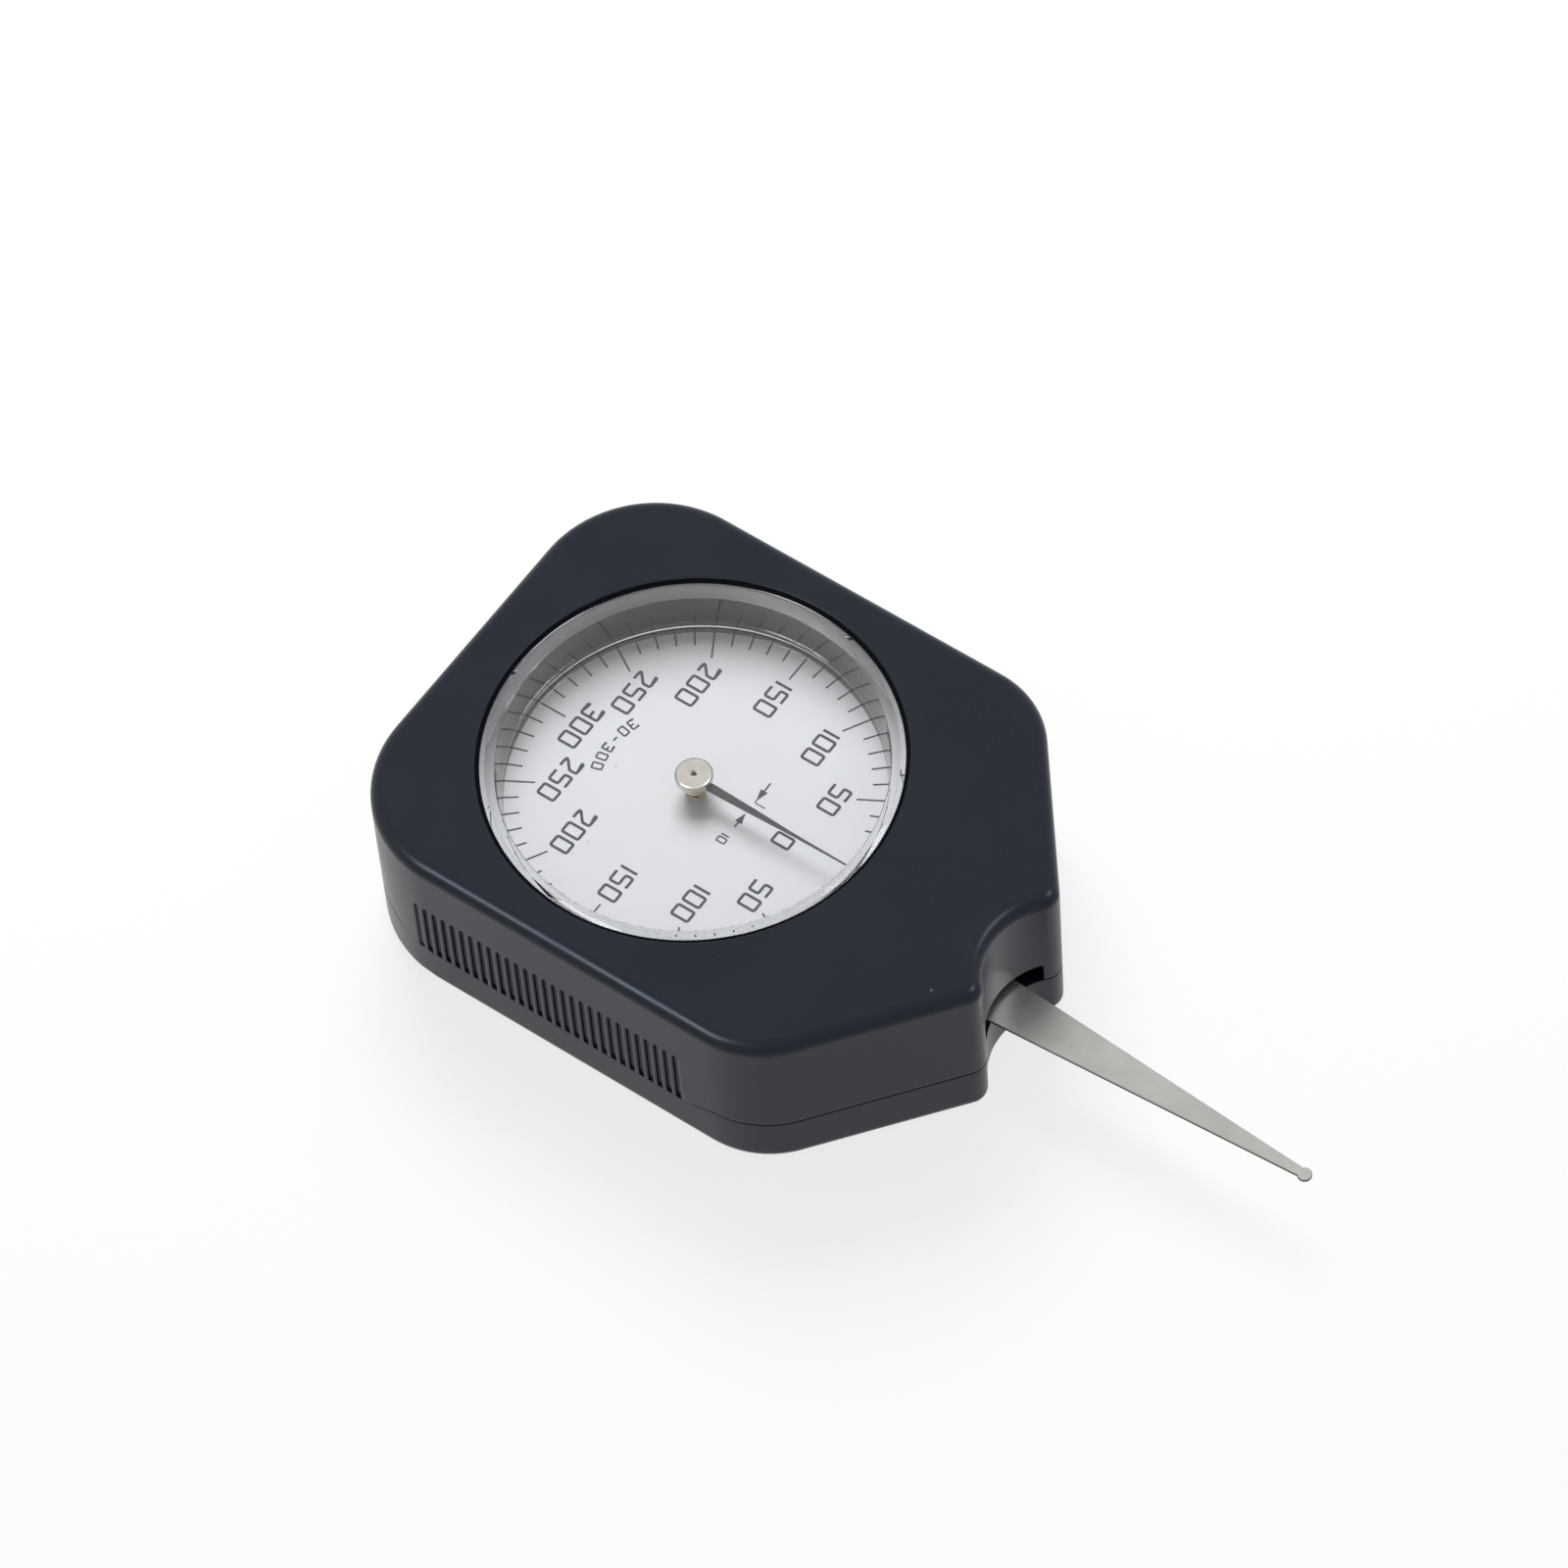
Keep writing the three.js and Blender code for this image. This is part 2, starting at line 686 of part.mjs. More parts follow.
// Sector seen from above with its teeth towards +X: hub, two spokes and a toothed rim.
function sectorOutline() {
  const root = sectorPitchRadius - toothModule * (dedendumShare + pinionShiftShare);
  const rimAngle = (sectorTeeth * Math.PI) / sectorFullTeeth + sectorEndMargin / root;
  const teeth = toothPoints(sectorPitchRadius, sectorFullTeeth, sectorTeeth, -pinionShiftShare);
  const edgeAngle = (radius, inset) =>
    rimAngle + Math.acos(sectorHubRadius / root) - Math.acos((sectorHubRadius - inset) / radius);
  const tangent = rimAngle + Math.acos(sectorHubRadius / root);
  const outline = new THREE.Shape([
    polar(root, -rimAngle),
    ...teeth,
    polar(root, rimAngle),
    ...arcPoints(0, 0, sectorHubRadius, tangent, 2 * Math.PI - tangent, 2 * cornerSteps),
  ]);
  const near = sectorHubRadius + sectorWindowGap;
  const far = root - sectorRimWidth;
  const nearAngle = edgeAngle(near, sectorSpokeWidth);
  const farAngle = edgeAngle(far, sectorSpokeWidth);
  outline.holes.push(new THREE.Path([
    ...arcPoints(0, 0, far, -farAngle, farAngle, cornerSteps),
    ...arcPoints(0, 0, near, nearAngle, -nearAngle, tipSteps),
  ]));
  return outline;
}

function armScrewPlaces() {
  return [[armScrewReach, 0], [-armScrewReach, 0]];
}

function toothedSector() {
  return cut(
    prism(sectorOutline(), sectorBottom, sectorTop).rotateZ(Math.PI),
    rod(hubNeckRadius + fitGap, 0, caseThickness),
    rodsAt(armScrewPlaces(), armScrewRadius + fitGap, 0, caseThickness),
  );
}

function pinion() {
  const teeth = toothPoints(pinionPitchRadius, pinionTeeth, pinionTeeth, pinionShiftShare);
  const blank = prism(new THREE.Shape(teeth), pinionBottom, pinionTop);
  return cut(blank, rod(arborRadius + fitGap, 0, caseThickness));
}

// The feeler is a flat spring-steel blade, round at its root and with a round contact end.
function feelerBlade() {
  const lean = Math.asin(bladeTaper);
  const neck = feelerReach - Math.sqrt(contactRadius ** 2 - bladeTipHalfWidth ** 2);
  const meet = Math.PI - Math.asin(bladeTipHalfWidth / contactRadius);
  const root = arcPoints(
    0, 0, bladeRootHalfWidth, Math.PI / 2 - lean, (3 * Math.PI) / 2 + lean, 2 * cornerSteps,
  );
  const tip = arcPoints(feelerReach, 0, contactRadius, -meet, meet, 2 * tipSteps);
  const outline = new THREE.Shape([
    ...root, new THREE.Vector2(neck, -bladeTipHalfWidth), ...tip.slice(1),
  ]);
  return cut(
    prism(outline, bladeBottom, bladeTop),
    rod(armShaftRadius + fitGap, 0, caseThickness),
    rodsAt(armScrewPlaces(), armScrewRadius + fitGap, 0, caseThickness),
  );
}

function armHub() {
  const foot = sectorBottom - hubFootHeight;
  return cut(
    turnedRing([
      [armShaftRadius + fitGap, foot],
      [hubNeckRadius, foot],
      [hubNeckRadius, sectorTop],
      [bladeRootHalfWidth, sectorTop],
      [bladeRootHalfWidth, bladeBottom],
      [armShaftRadius + fitGap, bladeBottom],
    ]),
    rodsAt(armScrewPlaces(), armScrewRadius + fitGap, sectorTop - cutOverrun, caseThickness),
  );
}

// A shaft between the plates with a thinner pivot at each end.
function pivotShaft(bodyRadius, pivotRadius, pivotTop) {
  const low = lowerPlateTop + bushFlangeThickness + endPlay;
  const high = upperPlateBottom - bushFlangeThickness - endPlay;
  return turned([
    [0, lowerPlateBottom + endPlay],
    [pivotRadius, lowerPlateBottom + endPlay],
    [pivotRadius, low],
    [bodyRadius, low],
    [bodyRadius, high],
    [pivotRadius, high],
    [pivotRadius, pivotTop],
    [0, pivotTop],
  ]);
}

// Flat strip wound out in a spiral about Z, from just outside its collet.
function spiralStrip(innerRadius, outerRadius, turns, strip, bottom, height) {
  const steps = Math.round(turns * spiralSteps);
  const outside = [];
  const inside = [];
  for (let i = 0; i <= steps; i += 1) {
    const share = i / steps;
    const angle = share * turns * 2 * Math.PI;
    const radius = innerRadius + (outerRadius - innerRadius) * share;
    outside.push(polar(radius + strip / 2, angle));
    inside.push(polar(radius - strip / 2, angle));
  }
  return prism(new THREE.Shape([...outside, ...inside.reverse()]), bottom, bottom + height);
}

function collet(shaftRadius, outerRadius, stripBottom, stripHeight) {
  const bottom = stripBottom - springColletMargin;
  const top = stripBottom + stripHeight + springColletMargin;
  const bore = shaftRadius + fitGap;
  return turnedRing([[bore, bottom], [outerRadius, bottom], [outerRadius, top], [bore, top]]);
}

// Pointer: an eye round the cap's spigot and a blade that swells, then narrows to a line.
function pointerBlade() {
  const belly = pointerReach * pointerBellyShare;
  const neck = pointerReach * pointerNeckShare;
  const neckHalf = pointerBellyHalfWidth * pointerNeckWidthShare;
  const upper = [
    new THREE.Vector2(pointerReach, pointerTipHalfWidth),
    new THREE.Vector2(neck, neckHalf),
    new THREE.Vector2(belly, pointerBellyHalfWidth),
    new THREE.Vector2(0, pointerRootHalfWidth),
  ];
  const blade = prism(new THREE.Shape([...upper, ...mirrored(upper)]), needleBottom, capBottom);
  const eye = rod(pointerEyeRadius, needleBottom, capBottom);
  return cut(join(eye, blade), rod(capSpigotRadius + fitGap, 0, caseThickness));
}

function pointerCap() {
  const bore = capBoreRadius + fitGap;
  const waist = arborPivotRadius + fitGap;
  return cut(
    turned([
      [0, needleBottom],
      [capSpigotRadius, needleBottom],
      [capSpigotRadius, capBottom],
      [pointerCapRadius, capBottom],
      [pointerCapRadius, capTop - pointerCapEdge],
      [pointerCapRadius - pointerCapEdge / 3, capTop - pointerCapEdge / 3],
      [pointerCapRadius - pointerCapEdge, capTop],
      [0, capTop],
    ]),
    rod(waist, needleBottom - cutOverrun, capTop - arborTipSink),
    rod(bore, needleBottom - cutOverrun, capTop + cutOverrun),
  );
}

function pointerCollar() {
  const bore = arborPivotRadius + fitGap;
  const bottom = dialTop + collarGap;
  return turnedRing([
    [bore, bottom],
    [collarRadius, bottom],
    [collarRadius, needleBottom],
    [bore, needleBottom],
  ]);
}

function makePiece(name, geometry, look) {
  const faceted = closed(geometry).toNonIndexed();
  faceted.computeVertexNormals();
  const mesh = new THREE.Mesh(faceted, new THREE.MeshStandardMaterial(look));
  mesh.name = name;
  return mesh;
}

// Adds one named copy of a geometry at each place, all at the same height.
function addCopies(group, name, geometry, look, places, height, turn = 0) {
  places.forEach(([x, y], i) => {
    const mesh = makePiece(`${name}_${i + 1}`, geometry, look);
    mesh.position.set(x, y, height);
    mesh.rotation.x = turn;
    group.add(mesh);
  });
}

// Where the sector's rim meets its stops at the ends of the feeler's swing.
function stopPlaces() {
  const root = sectorPitchRadius - toothModule * (dedendumShare + pinionShiftShare);
  const radius = root - sectorRimWidth;
  const rimEdge = (sectorTeeth * Math.PI) / sectorFullTeeth + sectorEndMargin / root;
  const lean = Math.acos(sectorHubRadius / root) - Math.acos(sectorHubRadius / radius);
  const angle = rimEdge + lean + feelerSwing + (stopRadius + stopGap) / radius;
  return pair(pivotReach - radius * Math.cos(angle), radius * Math.sin(angle));
}

function springStuds() {
  const measuring = springOuterRadius + springStrip / 2 + springGap + springStudRadius;
  const hair = hairOuterRadius + hairStrip / 2 + springGap + hairStudRadius;
  return [
    makePiece("spring_stud", rod(
      springStudRadius, springBottom, upperPlateBottom, pivotReach, measuring,
    ), brass),
    makePiece("hairspring_stud", rod(
      hairStudRadius, hairBottom, upperPlateBottom, -hair, 0,
    ), brass),
  ];
}

// The springs keep their shape at rest, so they belong to the fixed pieces.
function springs() {
  const measuringInner = springColletRadius + springGap + springStrip / 2;
  const hairInner = hairColletRadius + springGap + hairStrip / 2;
  const measuring = makePiece("measuring_spring", spiralStrip(
    measuringInner, springOuterRadius, springTurns, springStrip, springBottom, springHeight,
  ), springSteel);
  measuring.position.x = pivotReach;
  const hair = makePiece("hairspring", spiralStrip(
    hairInner, hairOuterRadius, hairTurns, hairStrip, hairBottom, hairHeight,
  ), springSteel);
  return [measuring, hair];
}

function caseGroup() {
  const group = new THREE.Group();
  const below = belowSeam();
  group.add(
    makePiece("front_case", frontCase(below), casePlastic),
    makePiece("back_cover", backCover(below), casePlastic),
    makePiece("crystal", crystal(), clearPlastic),
    makePiece("dial_plate", dialPlate(), dialPaint),
  );
  const caseScrew = screw(
    caseScrewHeadRadius, caseScrewHeadHeight, caseScrewRadius, caseScrewLength,
  );
  addCopies(group, "case_screw", caseScrew, steel, caseScrewPlaces, caseScrewSink, Math.PI);
  return group;
}

function movementGroup() {
  const group = new THREE.Group();
  group.add(
    makePiece("lower_plate", lowerPlate(), brass),
    makePiece("upper_plate", upperPlate(), brass),
    ...springs(),
    ...springStuds(),
  );
  const plateScrew = screw(
    plateScrewHeadRadius, plateScrewHeadHeight, plateScrewRadius, plateScrewLength,
  );
  const postScrew = screw(
    plateScrewHeadRadius, plateScrewHeadHeight, plateScrewRadius, postScrewLength,
  );
  addCopies(group, "pillar", pillar(), brass, pillarPlaces, lowerPlateTop);
  addCopies(group, "upper_screw", plateScrew, steel, pillarPlaces, upperPlateTop);
  addCopies(group, "lower_screw", plateScrew, steel, pillarPlaces, lowerPlateBottom, Math.PI);
  addCopies(
    group, "post_screw", postScrew, steel, postPlaces, lowerPlateTop + plateScrewHeadHeight,
  );
  addCopies(
    group, "stop_pin", rod(stopRadius, 0, sectorTop + stopRise - lowerPlateTop), steel,
    stopPlaces(), lowerPlateTop,
  );
  const armBore = armPivotRadius + runGap;
  const arborBore = arborPivotRadius + runGap;
  const bushes = [
    ["arm_bush_lower", bush(armBushRadius, armBore, 1), pivotReach, lowerPlateBottom],
    ["arm_bush_upper", bush(armBushRadius, armBore, -1), pivotReach, upperPlateTop],
    ["arbor_bush_lower", bush(arborBushRadius, arborBore, 1), 0, lowerPlateBottom],
    ["arbor_bush_upper", bush(arborBushRadius, arborBore, -1), 0, upperPlateTop],
  ];
  bushes.forEach(([name, geometry, x, height]) => {
    const mesh = makePiece(name, geometry, brass);
    mesh.position.set(x, 0, height);
    group.add(mesh);
  });
  return group;
}

// Everything that swings with the feeler, about an upright axis near the nose.
function feelerGroup() {
  const group = new THREE.Group();
  const armScrew = screw(armScrewHeadRadius, armScrewHeadHeight, armScrewRadius, armScrewLength);
  group.add(
    makePiece("feeler_blade", feelerBlade(), steel),
    makePiece("arm_hub", armHub(), brass),
    makePiece("arm_shaft", pivotShaft(armShaftRadius, armPivotRadius, upperPlateTop - endPlay), steel),
    makePiece("toothed_sector", toothedSector(), brass),
    makePiece("spring_collet", collet(
      armShaftRadius, springColletRadius, springBottom, springHeight,
    ), brass),
  );
  addCopies(group, "arm_screw", armScrew, steel, armScrewPlaces(), bladeTop + armScrewHeadHeight);
  group.position.x = pivotReach;
  return group;
}

// Everything that turns with the pointer, about the axis of the dial.
function pointerGroup() {
  const group = new THREE.Group();
  const arborTop = capTop - arborTipSink - fitGap;
  const hairCollet = collet(arborRadius, hairColletRadius, hairBottom, hairHeight);
  group.add(
    makePiece("pointer_arbor", pivotShaft(arborRadius, arborPivotRadius, arborTop), steel),
    makePiece("pinion", pinion(), brass),
    makePiece("hairspring_collet", hairCollet, brass),
    makePiece("pointer_collar", pointerCollar(), nickel),
    makePiece("pointer", pointerBlade(), pointerPaint),
    makePiece("pointer_cap", pointerCap(), nickel),
  );
  return group;
}

const gauge = new THREE.Group();
gauge.add(caseGroup(), movementGroup(), feelerGroup(), pointerGroup());

export default gauge;
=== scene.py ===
"""Finished surfaces of a pocket dial tension gauge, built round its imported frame.

The file is laid out as an add-on. Its operators each make one piece, or one group of like
pieces, and the last one makes the stage. Lengths are metres, in the frame's own axes:
X runs to the nose, Z out of the dial, and the pointer turns about Z.
"""

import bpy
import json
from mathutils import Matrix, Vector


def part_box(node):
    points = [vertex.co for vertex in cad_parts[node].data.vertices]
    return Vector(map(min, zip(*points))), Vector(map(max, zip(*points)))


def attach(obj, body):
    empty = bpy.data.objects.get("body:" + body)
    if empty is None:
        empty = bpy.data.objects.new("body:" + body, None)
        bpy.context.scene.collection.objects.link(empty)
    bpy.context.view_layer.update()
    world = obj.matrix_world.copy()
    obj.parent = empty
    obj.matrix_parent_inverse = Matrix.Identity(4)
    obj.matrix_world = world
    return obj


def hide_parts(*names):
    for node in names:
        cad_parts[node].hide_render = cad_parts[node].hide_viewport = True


bl_info = {
    "name": "Dial Tension Gauge",
    "version": (1, 0, 0),
    "blender": (4, 5, 0),
    "location": "3D View > Sidebar > Gauge",
    "description": "Case, crystal, dial, pointer and feeler of a pocket dial tension gauge",
    "category": "Add Mesh",
}

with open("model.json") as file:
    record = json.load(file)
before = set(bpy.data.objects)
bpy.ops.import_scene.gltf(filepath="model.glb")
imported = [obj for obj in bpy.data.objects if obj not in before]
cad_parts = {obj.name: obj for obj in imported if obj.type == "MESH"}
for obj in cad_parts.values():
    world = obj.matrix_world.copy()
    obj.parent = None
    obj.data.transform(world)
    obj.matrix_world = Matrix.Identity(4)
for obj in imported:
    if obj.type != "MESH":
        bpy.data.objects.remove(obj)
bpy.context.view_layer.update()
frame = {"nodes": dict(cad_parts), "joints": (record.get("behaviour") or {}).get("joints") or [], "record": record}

import json
import math

import bmesh
import bpy
from bpy.props import FloatProperty, FloatVectorProperty, IntProperty, PointerProperty
from mathutils import Vector

MM = 0.001
TURN = 2 * math.pi
ON_AXIS = 1e-9  # A smaller radius counts as a point on the axis
HAIR = 0.01 * MM  # Keeps apart two places that would meet
BAND = 0.1 * MM  # Width of the flat strip beside a rounded edge
FLOOR_LEVEL = -0.02 * MM
FLOOR_PAINT = (0.93, 0.93, 0.93, 1)  # For the light that the floor throws on the gauge
SENSOR = 36  # Width of the camera's sensor in millimetres
ARC_STEPS, FILLET_STEPS = 14, 9
SCREW_STEPS, TURNED_STEPS = 48, 96
SMALL_PRINT_POWER = 0.8  # Small numbers keep a little more line width than their scale
CASE_LOW, CASE_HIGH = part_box("front_case")
COVER_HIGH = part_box("back_cover")[1]
CRYSTAL_LOW, CRYSTAL_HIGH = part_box("crystal")
CAP_LOW, CAP_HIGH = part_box("pointer_cap")
COLLAR_LOW, COLLAR_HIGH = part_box("pointer_collar")
POINTER_LOW, POINTER_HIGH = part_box("pointer")
ARBOR_LOW, ARBOR_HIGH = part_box("pointer_arbor")
BLADE_LOW, BLADE_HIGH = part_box("feeler_blade")
DIAL_TOP = CRYSTAL_LOW.z
PIVOT = Vector(next(j["pos_m"] for j in frame["joints"] if j["name"] == "feeler_swing"))
CASE_SCREWS = [f"case_screw_{i + 1}" for i in range(4)]


def middle_of(name):
    """The middle of a CAD node's box."""
    return sum(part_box(name), Vector()) / 2


SCREW_PLACES = [middle_of(name) for name in CASE_SCREWS]


# Properties

def size(label, millimetres, text):
    return length(label, millimetres * MM, text)


def length(label, metres, text):
    return FloatProperty(
        name=label, description=text, default=metres, unit="LENGTH", precision=5
    )


def share(label, value, text):
    return FloatProperty(name=label, description=text, default=value, subtype="FACTOR")


def angle(label, degrees, text):
    return FloatProperty(
        name=label, description=text, default=math.radians(degrees), subtype="ANGLE"
    )


def amount(label, value, text):
    return FloatProperty(name=label, description=text, default=value, precision=4)


def count(label, value, text):
    return IntProperty(name=label, description=text, default=value, min=1)


def colour(label, rgb, text):
    return FloatVectorProperty(
        name=label, description=text, default=rgb, subtype="COLOR", min=0, max=1
    )


class GaugeCaseSizes(bpy.types.PropertyGroup):
    """Sizes of the two case halves and their screws"""

    width: length("Width", CASE_HIGH.y - CASE_LOW.y, "Across the ribbed sides")
    top: length("Top", CASE_HIGH.z, "Height of the dial side over the back face")
    back_reach: length("Back reach", -CASE_LOW.x, "From the pointer's axis to the back end")
    back_radius: size("Back corner", 15, "Radius of the two corners at the back end")
    shoulder_reach: size("Shoulder reach", 28.7, "Where the sides would meet the slopes")
    shoulder_radius: size("Shoulder radius", 12, "Rounding between sides and slopes")
    tip_reach: size("Nose tip reach", 43.5, "Centre of a nose tip from the pointer's axis")
    tip_offset: size("Nose tip offset", 7.707, "Centre of a nose tip from the long axis")
    tip_radius: size("Nose tip radius", 2.2, "Rounding of the nose tips")
    arc_radius: size("Nose arc", 9.2, "Radius of the hollow arc in the nose")
    edge_radius: size("Edge radius", 1.6, "Rounding of the top and bottom edges")
    wall: size("Wall", 2.1, "Thickness of the case wall")
    soft_edge: size("Soft edge", 0.06, "Rounding of the moulded halves' rims")
    seam: length("Seam", COVER_HIGH.z - 1.1 * MM, "Height of the parting line")
    seam_dip: size("Seam dip", 1.15, "How far the parting line drops along the sides")
    dip_half: size("Dip half length", 19.2, "Half the length of the dropped part")
    dip_ramp: size("Dip ramp", 4.6, "Length over which the parting line climbs back")
    line_width: size("Shadow line width", 0.2, "Height of the groove at the parting line")
    line_depth: size("Shadow line depth", 0.3, "Depth of the groove at the parting line")
    grooves: count("Grooves", 29, "Grip grooves in each long side")
    groove_pitch: size("Groove pitch", 1.32, "From one grip groove to the next")
    groove_width: size("Groove width", 0.8, "Width of a grip groove at its mouth")
    groove_depth: size("Groove depth", 0.36, "Depth of a grip groove")
    groove_top: size("Groove top", 15.5, "Height of the grooves' round upper ends")
    groove_draft: size("Groove draft", 0.13, "Width of a groove's slanting side wall")
    slot_half: size("Slot half width", 5.9, "Half the width of the feeler's slot")
    slot_top: size("Slot top", 10.65, "Height of the slot's upper edge")
    slot_corner: size("Slot corner", 0.35, "Rounding of the slot's upper corners")
    opening: size("Opening radius", 25.2, "Radius of the dial opening")
    opening_edge: size("Opening edge", 0.18, "Rounding of the opening's edge")
    # The lip is a dark sleeve in painted shade that fills the shadowed gap round the crystal
    lip_width: size("Lip width", 0.43, "Width of the matt lip round the crystal")
    lip_drop: size("Lip drop", 0.22, "How deep the lip lies under the top")
    recess: size("Recess radius", 26.7, "Radius of the recess under the opening")
    recess_top: size("Recess top", 17.85, "Height of the recess under the opening")
    ceiling: size("Ceiling", 15.95, "Lowest height of the moulding round the dial")
    floor: size("Floor", 2, "Thickness of the back cover's floor")
    bore_radius: size("Screw bore", 2.25, "Radius of the holes that the screw heads sit in")
    bore_depth: size("Screw bore depth", 1.7, "Depth of the holes for the screw heads")
    head_radius: size("Screw head", 2.1, "Radius of a case screw's head")
    head_height: size("Screw head height", 1.3, "Height of a case screw's head")
    head_sink: size("Screw sink", 0.4, "How deep a screw's head lies under the back face")
    slot_width: size("Screw slot width", 0.55, "Width of the cross in a screw's head")
    slot_depth: size("Screw slot depth", 0.7, "Depth of the cross in a screw's head")
    shank_radius: size("Screw shank", 1.1, "Radius of a case screw's shank")
    shank_length: size("Screw length", 13, "Length of a case screw's shank")


class GaugeDialSizes(bpy.types.PropertyGroup):
    """Sizes of the crystal and of the print on the dial"""

    crystal_radius: size("Crystal radius", 24.74, "Outer radius of the window")
    crystal_inner: size("Crystal inner radius", 23.05, "Inner radius under the window")
    crystal_draft: size("Crystal draft", 0.45, "How far the skirt's inner wall leans in")
    window: size("Window", 1.5, "Thickness of the clear window")
    crystal_bevel: size("Crystal bevel", 0.6, "Width of the bevel round the window")
    print_depth: size("Print thickness", 0.02, "How far the printed ink stands up")
    tick_outer: size("Tick outer radius", 22.75, "Outer end of every division")
    tick_inner: size("Tick inner radius", 20.85, "Inner end of a short division")
    main_inner: size("Main tick inner radius", 19.0, "Inner end of a numbered division")
    tick_width: size("Tick width", 0.22, "Width of a division")
    ticks: count("Divisions", 55, "Divisions of the whole scale")
    tick_first: angle("First division", 18, "Angle of the first division from the nose")
    tick_step: angle("Division step", 6, "Angle from one division to the next")
    digit_height: size("Digit height", 2.68, "Height of the numbers")
    digit_width: size("Digit width", 1.86, "Width of a number's digit")
    digit_gap: size("Digit gap", 0.43, "Space between two digits")
    digit_stroke: size("Digit stroke", 0.36, "Line width of the numbers")
    digit_corner: size("Digit corner", 0.27, "Rounding of the digits' corners")
    note_height: size("Note height", 1.3, "Height of the small numbers")
    note_radius: size("Note radius", 12.25, "Radius of the curved row of small numbers")


class GaugeHandSizes(bpy.types.PropertyGroup):
    """Sizes of the pointer with its cap and of the feeler"""

    pointer_root: size("Pointer root", 0.6, "Half width of the pointer at its eye")
    pointer_middle: size("Pointer middle", 0.42, "Half width of the pointer's middle")
    middle_share: share("Middle place", 0.38, "Where along its reach the middle lies")
    pointer_neck: size("Pointer neck", 0.19, "Half width where the pointer turns thin")
    neck_share: share("Neck place", 0.66, "Where along its reach the pointer turns thin")
    pointer_tip: size("Pointer tip", 0.09, "Half width of the pointer's end")
    pointer_eye: size("Pointer eye", 1.7, "Radius of the eye under the cap")
    cap_grow: size("Cap growth", 0.12, "How much wider the cap is drawn than its solid")
    cap_edge: size("Cap edge", 0.38, "Rounding of the cap's upper edge")
    cap_bore: size("Cap bore", 0.36, "Radius of the hole in the cap")
    arbor_end: size("Arbor end radius", 0.4, "Radius of the arbor's two ends")
    arbor_body: size("Arbor body radius", 0.7, "Radius of the arbor between its shoulders")
    arbor_lower: size("Arbor lower shoulder", 4.95, "Height of the arbor's lower shoulder")
    arbor_upper: size("Arbor upper shoulder", 13.75, "Height of the arbor's upper shoulder")
    centre_hole: size("Centre hole", 0.33, "Radius of the hole in the arbor's upper end")
    centre_depth: size("Centre hole depth", 1.1, "Depth of the hole in the arbor's end")
    blade_root: size("Blade root", 3.63, "Half width of the feeler at its axis")
    blade_neck: size("Blade neck", 0.6, "Half width of the feeler before its round end")
    contact: size("Contact radius", 0.87, "Radius of the feeler's round end")
    blade_edge: size("Blade edge", 0.05, "Rounding of the feeler's edges")
    blade_bore: size("Blade bore", 1.1, "Radius of the hole for the feeler's shaft")


class GaugeFinishes(bpy.types.PropertyGroup):
    """Colours and grain of the finishes"""

    plastic: colour("Case plastic", (0.0074, 0.0088, 0.0146), "Moulded bluish black plastic")
    dust: colour("Dust", (0.35, 0.37, 0.4), "Fine specks of dust on the case")
    paint: colour("Dial paint", (0.76, 0.77, 0.795), "Silver white paint of the dial")
    ink: colour("Dial ink", (0.033, 0.035, 0.04), "Dark grey print of the dial")
    needle: colour("Pointer paint", (0.036, 0.038, 0.042), "Matte paint of the pointer")
    nickel: colour("Nickel", (0.6, 0.575, 0.52), "Warm nickel plate of cap and collar")
    # The collar's colour is a darker, warmer copy of the cap's nickel plate; its darkness is painted shade under
    # the cap
    collar: colour("Collar metal", (0.4, 0.33, 0.24), "Worn plate of the pointer's collar")
    blade: colour("Feeler steel", (0.47, 0.463, 0.442), "Ground stainless steel")
    screw: colour("Screw steel", (0.45, 0.45, 0.45), "Turned steel of screws and shafts")
    spring: colour("Spring steel", (0.11, 0.13, 0.19), "Blued strip of the springs")
    brass: colour("Brass", (0.6, 0.42, 0.16), "Machined brass of the movement")


class GaugeStageSettings(bpy.types.PropertyGroup):
    """Camera, lamps and floor"""

    camera_place: FloatVectorProperty(
        name="Camera place", description="Where the camera stands", subtype="XYZ",
        unit="LENGTH", default=(0.35882, -0.41840, 0.85405),
    )
    camera_turn: FloatVectorProperty(
        name="Camera turn", description="How the camera is turned", subtype="EULER",
        default=tuple(math.radians(a) for a in (33.2567, 2.7109, 35.4200)),
    )
    camera_lens: FloatProperty(
        name="Lens", description="Focal length on a 36 mm sensor", default=197.92,
        unit="CAMERA",
    )
    left_turn: angle("Left lamp turn", 244, "Where the left lamp stands round the dial")
    left_rise: angle("Left lamp rise", 50, "How high the left lamp stands")
    left_power: amount("Left lamp power", 2.4, "Watts of the left lamp")
    right_turn: angle("Right lamp turn", 38, "Where the right lamp stands round the dial")
    right_rise: angle("Right lamp rise", 52, "How high the right lamp stands")
    right_power: amount("Right lamp power", 1.3, "Watts of the right lamp")
    rear_turn: angle("Rear lamp turn", 133, "Where the rear lamp stands round the dial")
    rear_rise: angle("Rear lamp rise", 50, "How high the rear lamp stands")
    rear_power: amount("Rear lamp power", 5.1, "Watts of the rear lamp")
    lamp_distance: length("Lamp distance", 0.7, "From the dial to each lamp")
    side_size: length("Side lamp size", 0.25, "Side of the square lamps left and right")
    rear_size: length("Rear lamp size", 0.42, "Side of the square lamp behind the gauge")
    ambient: amount("Ambient", 0.27, "Strength of the even light from all round")
    floor_radius: length("Floor radius", 4.0, "Radius of the round floor")
    floor_lift: share("Floor lift", 0.78, "How much of the floor is shown as even white")


# Node trees

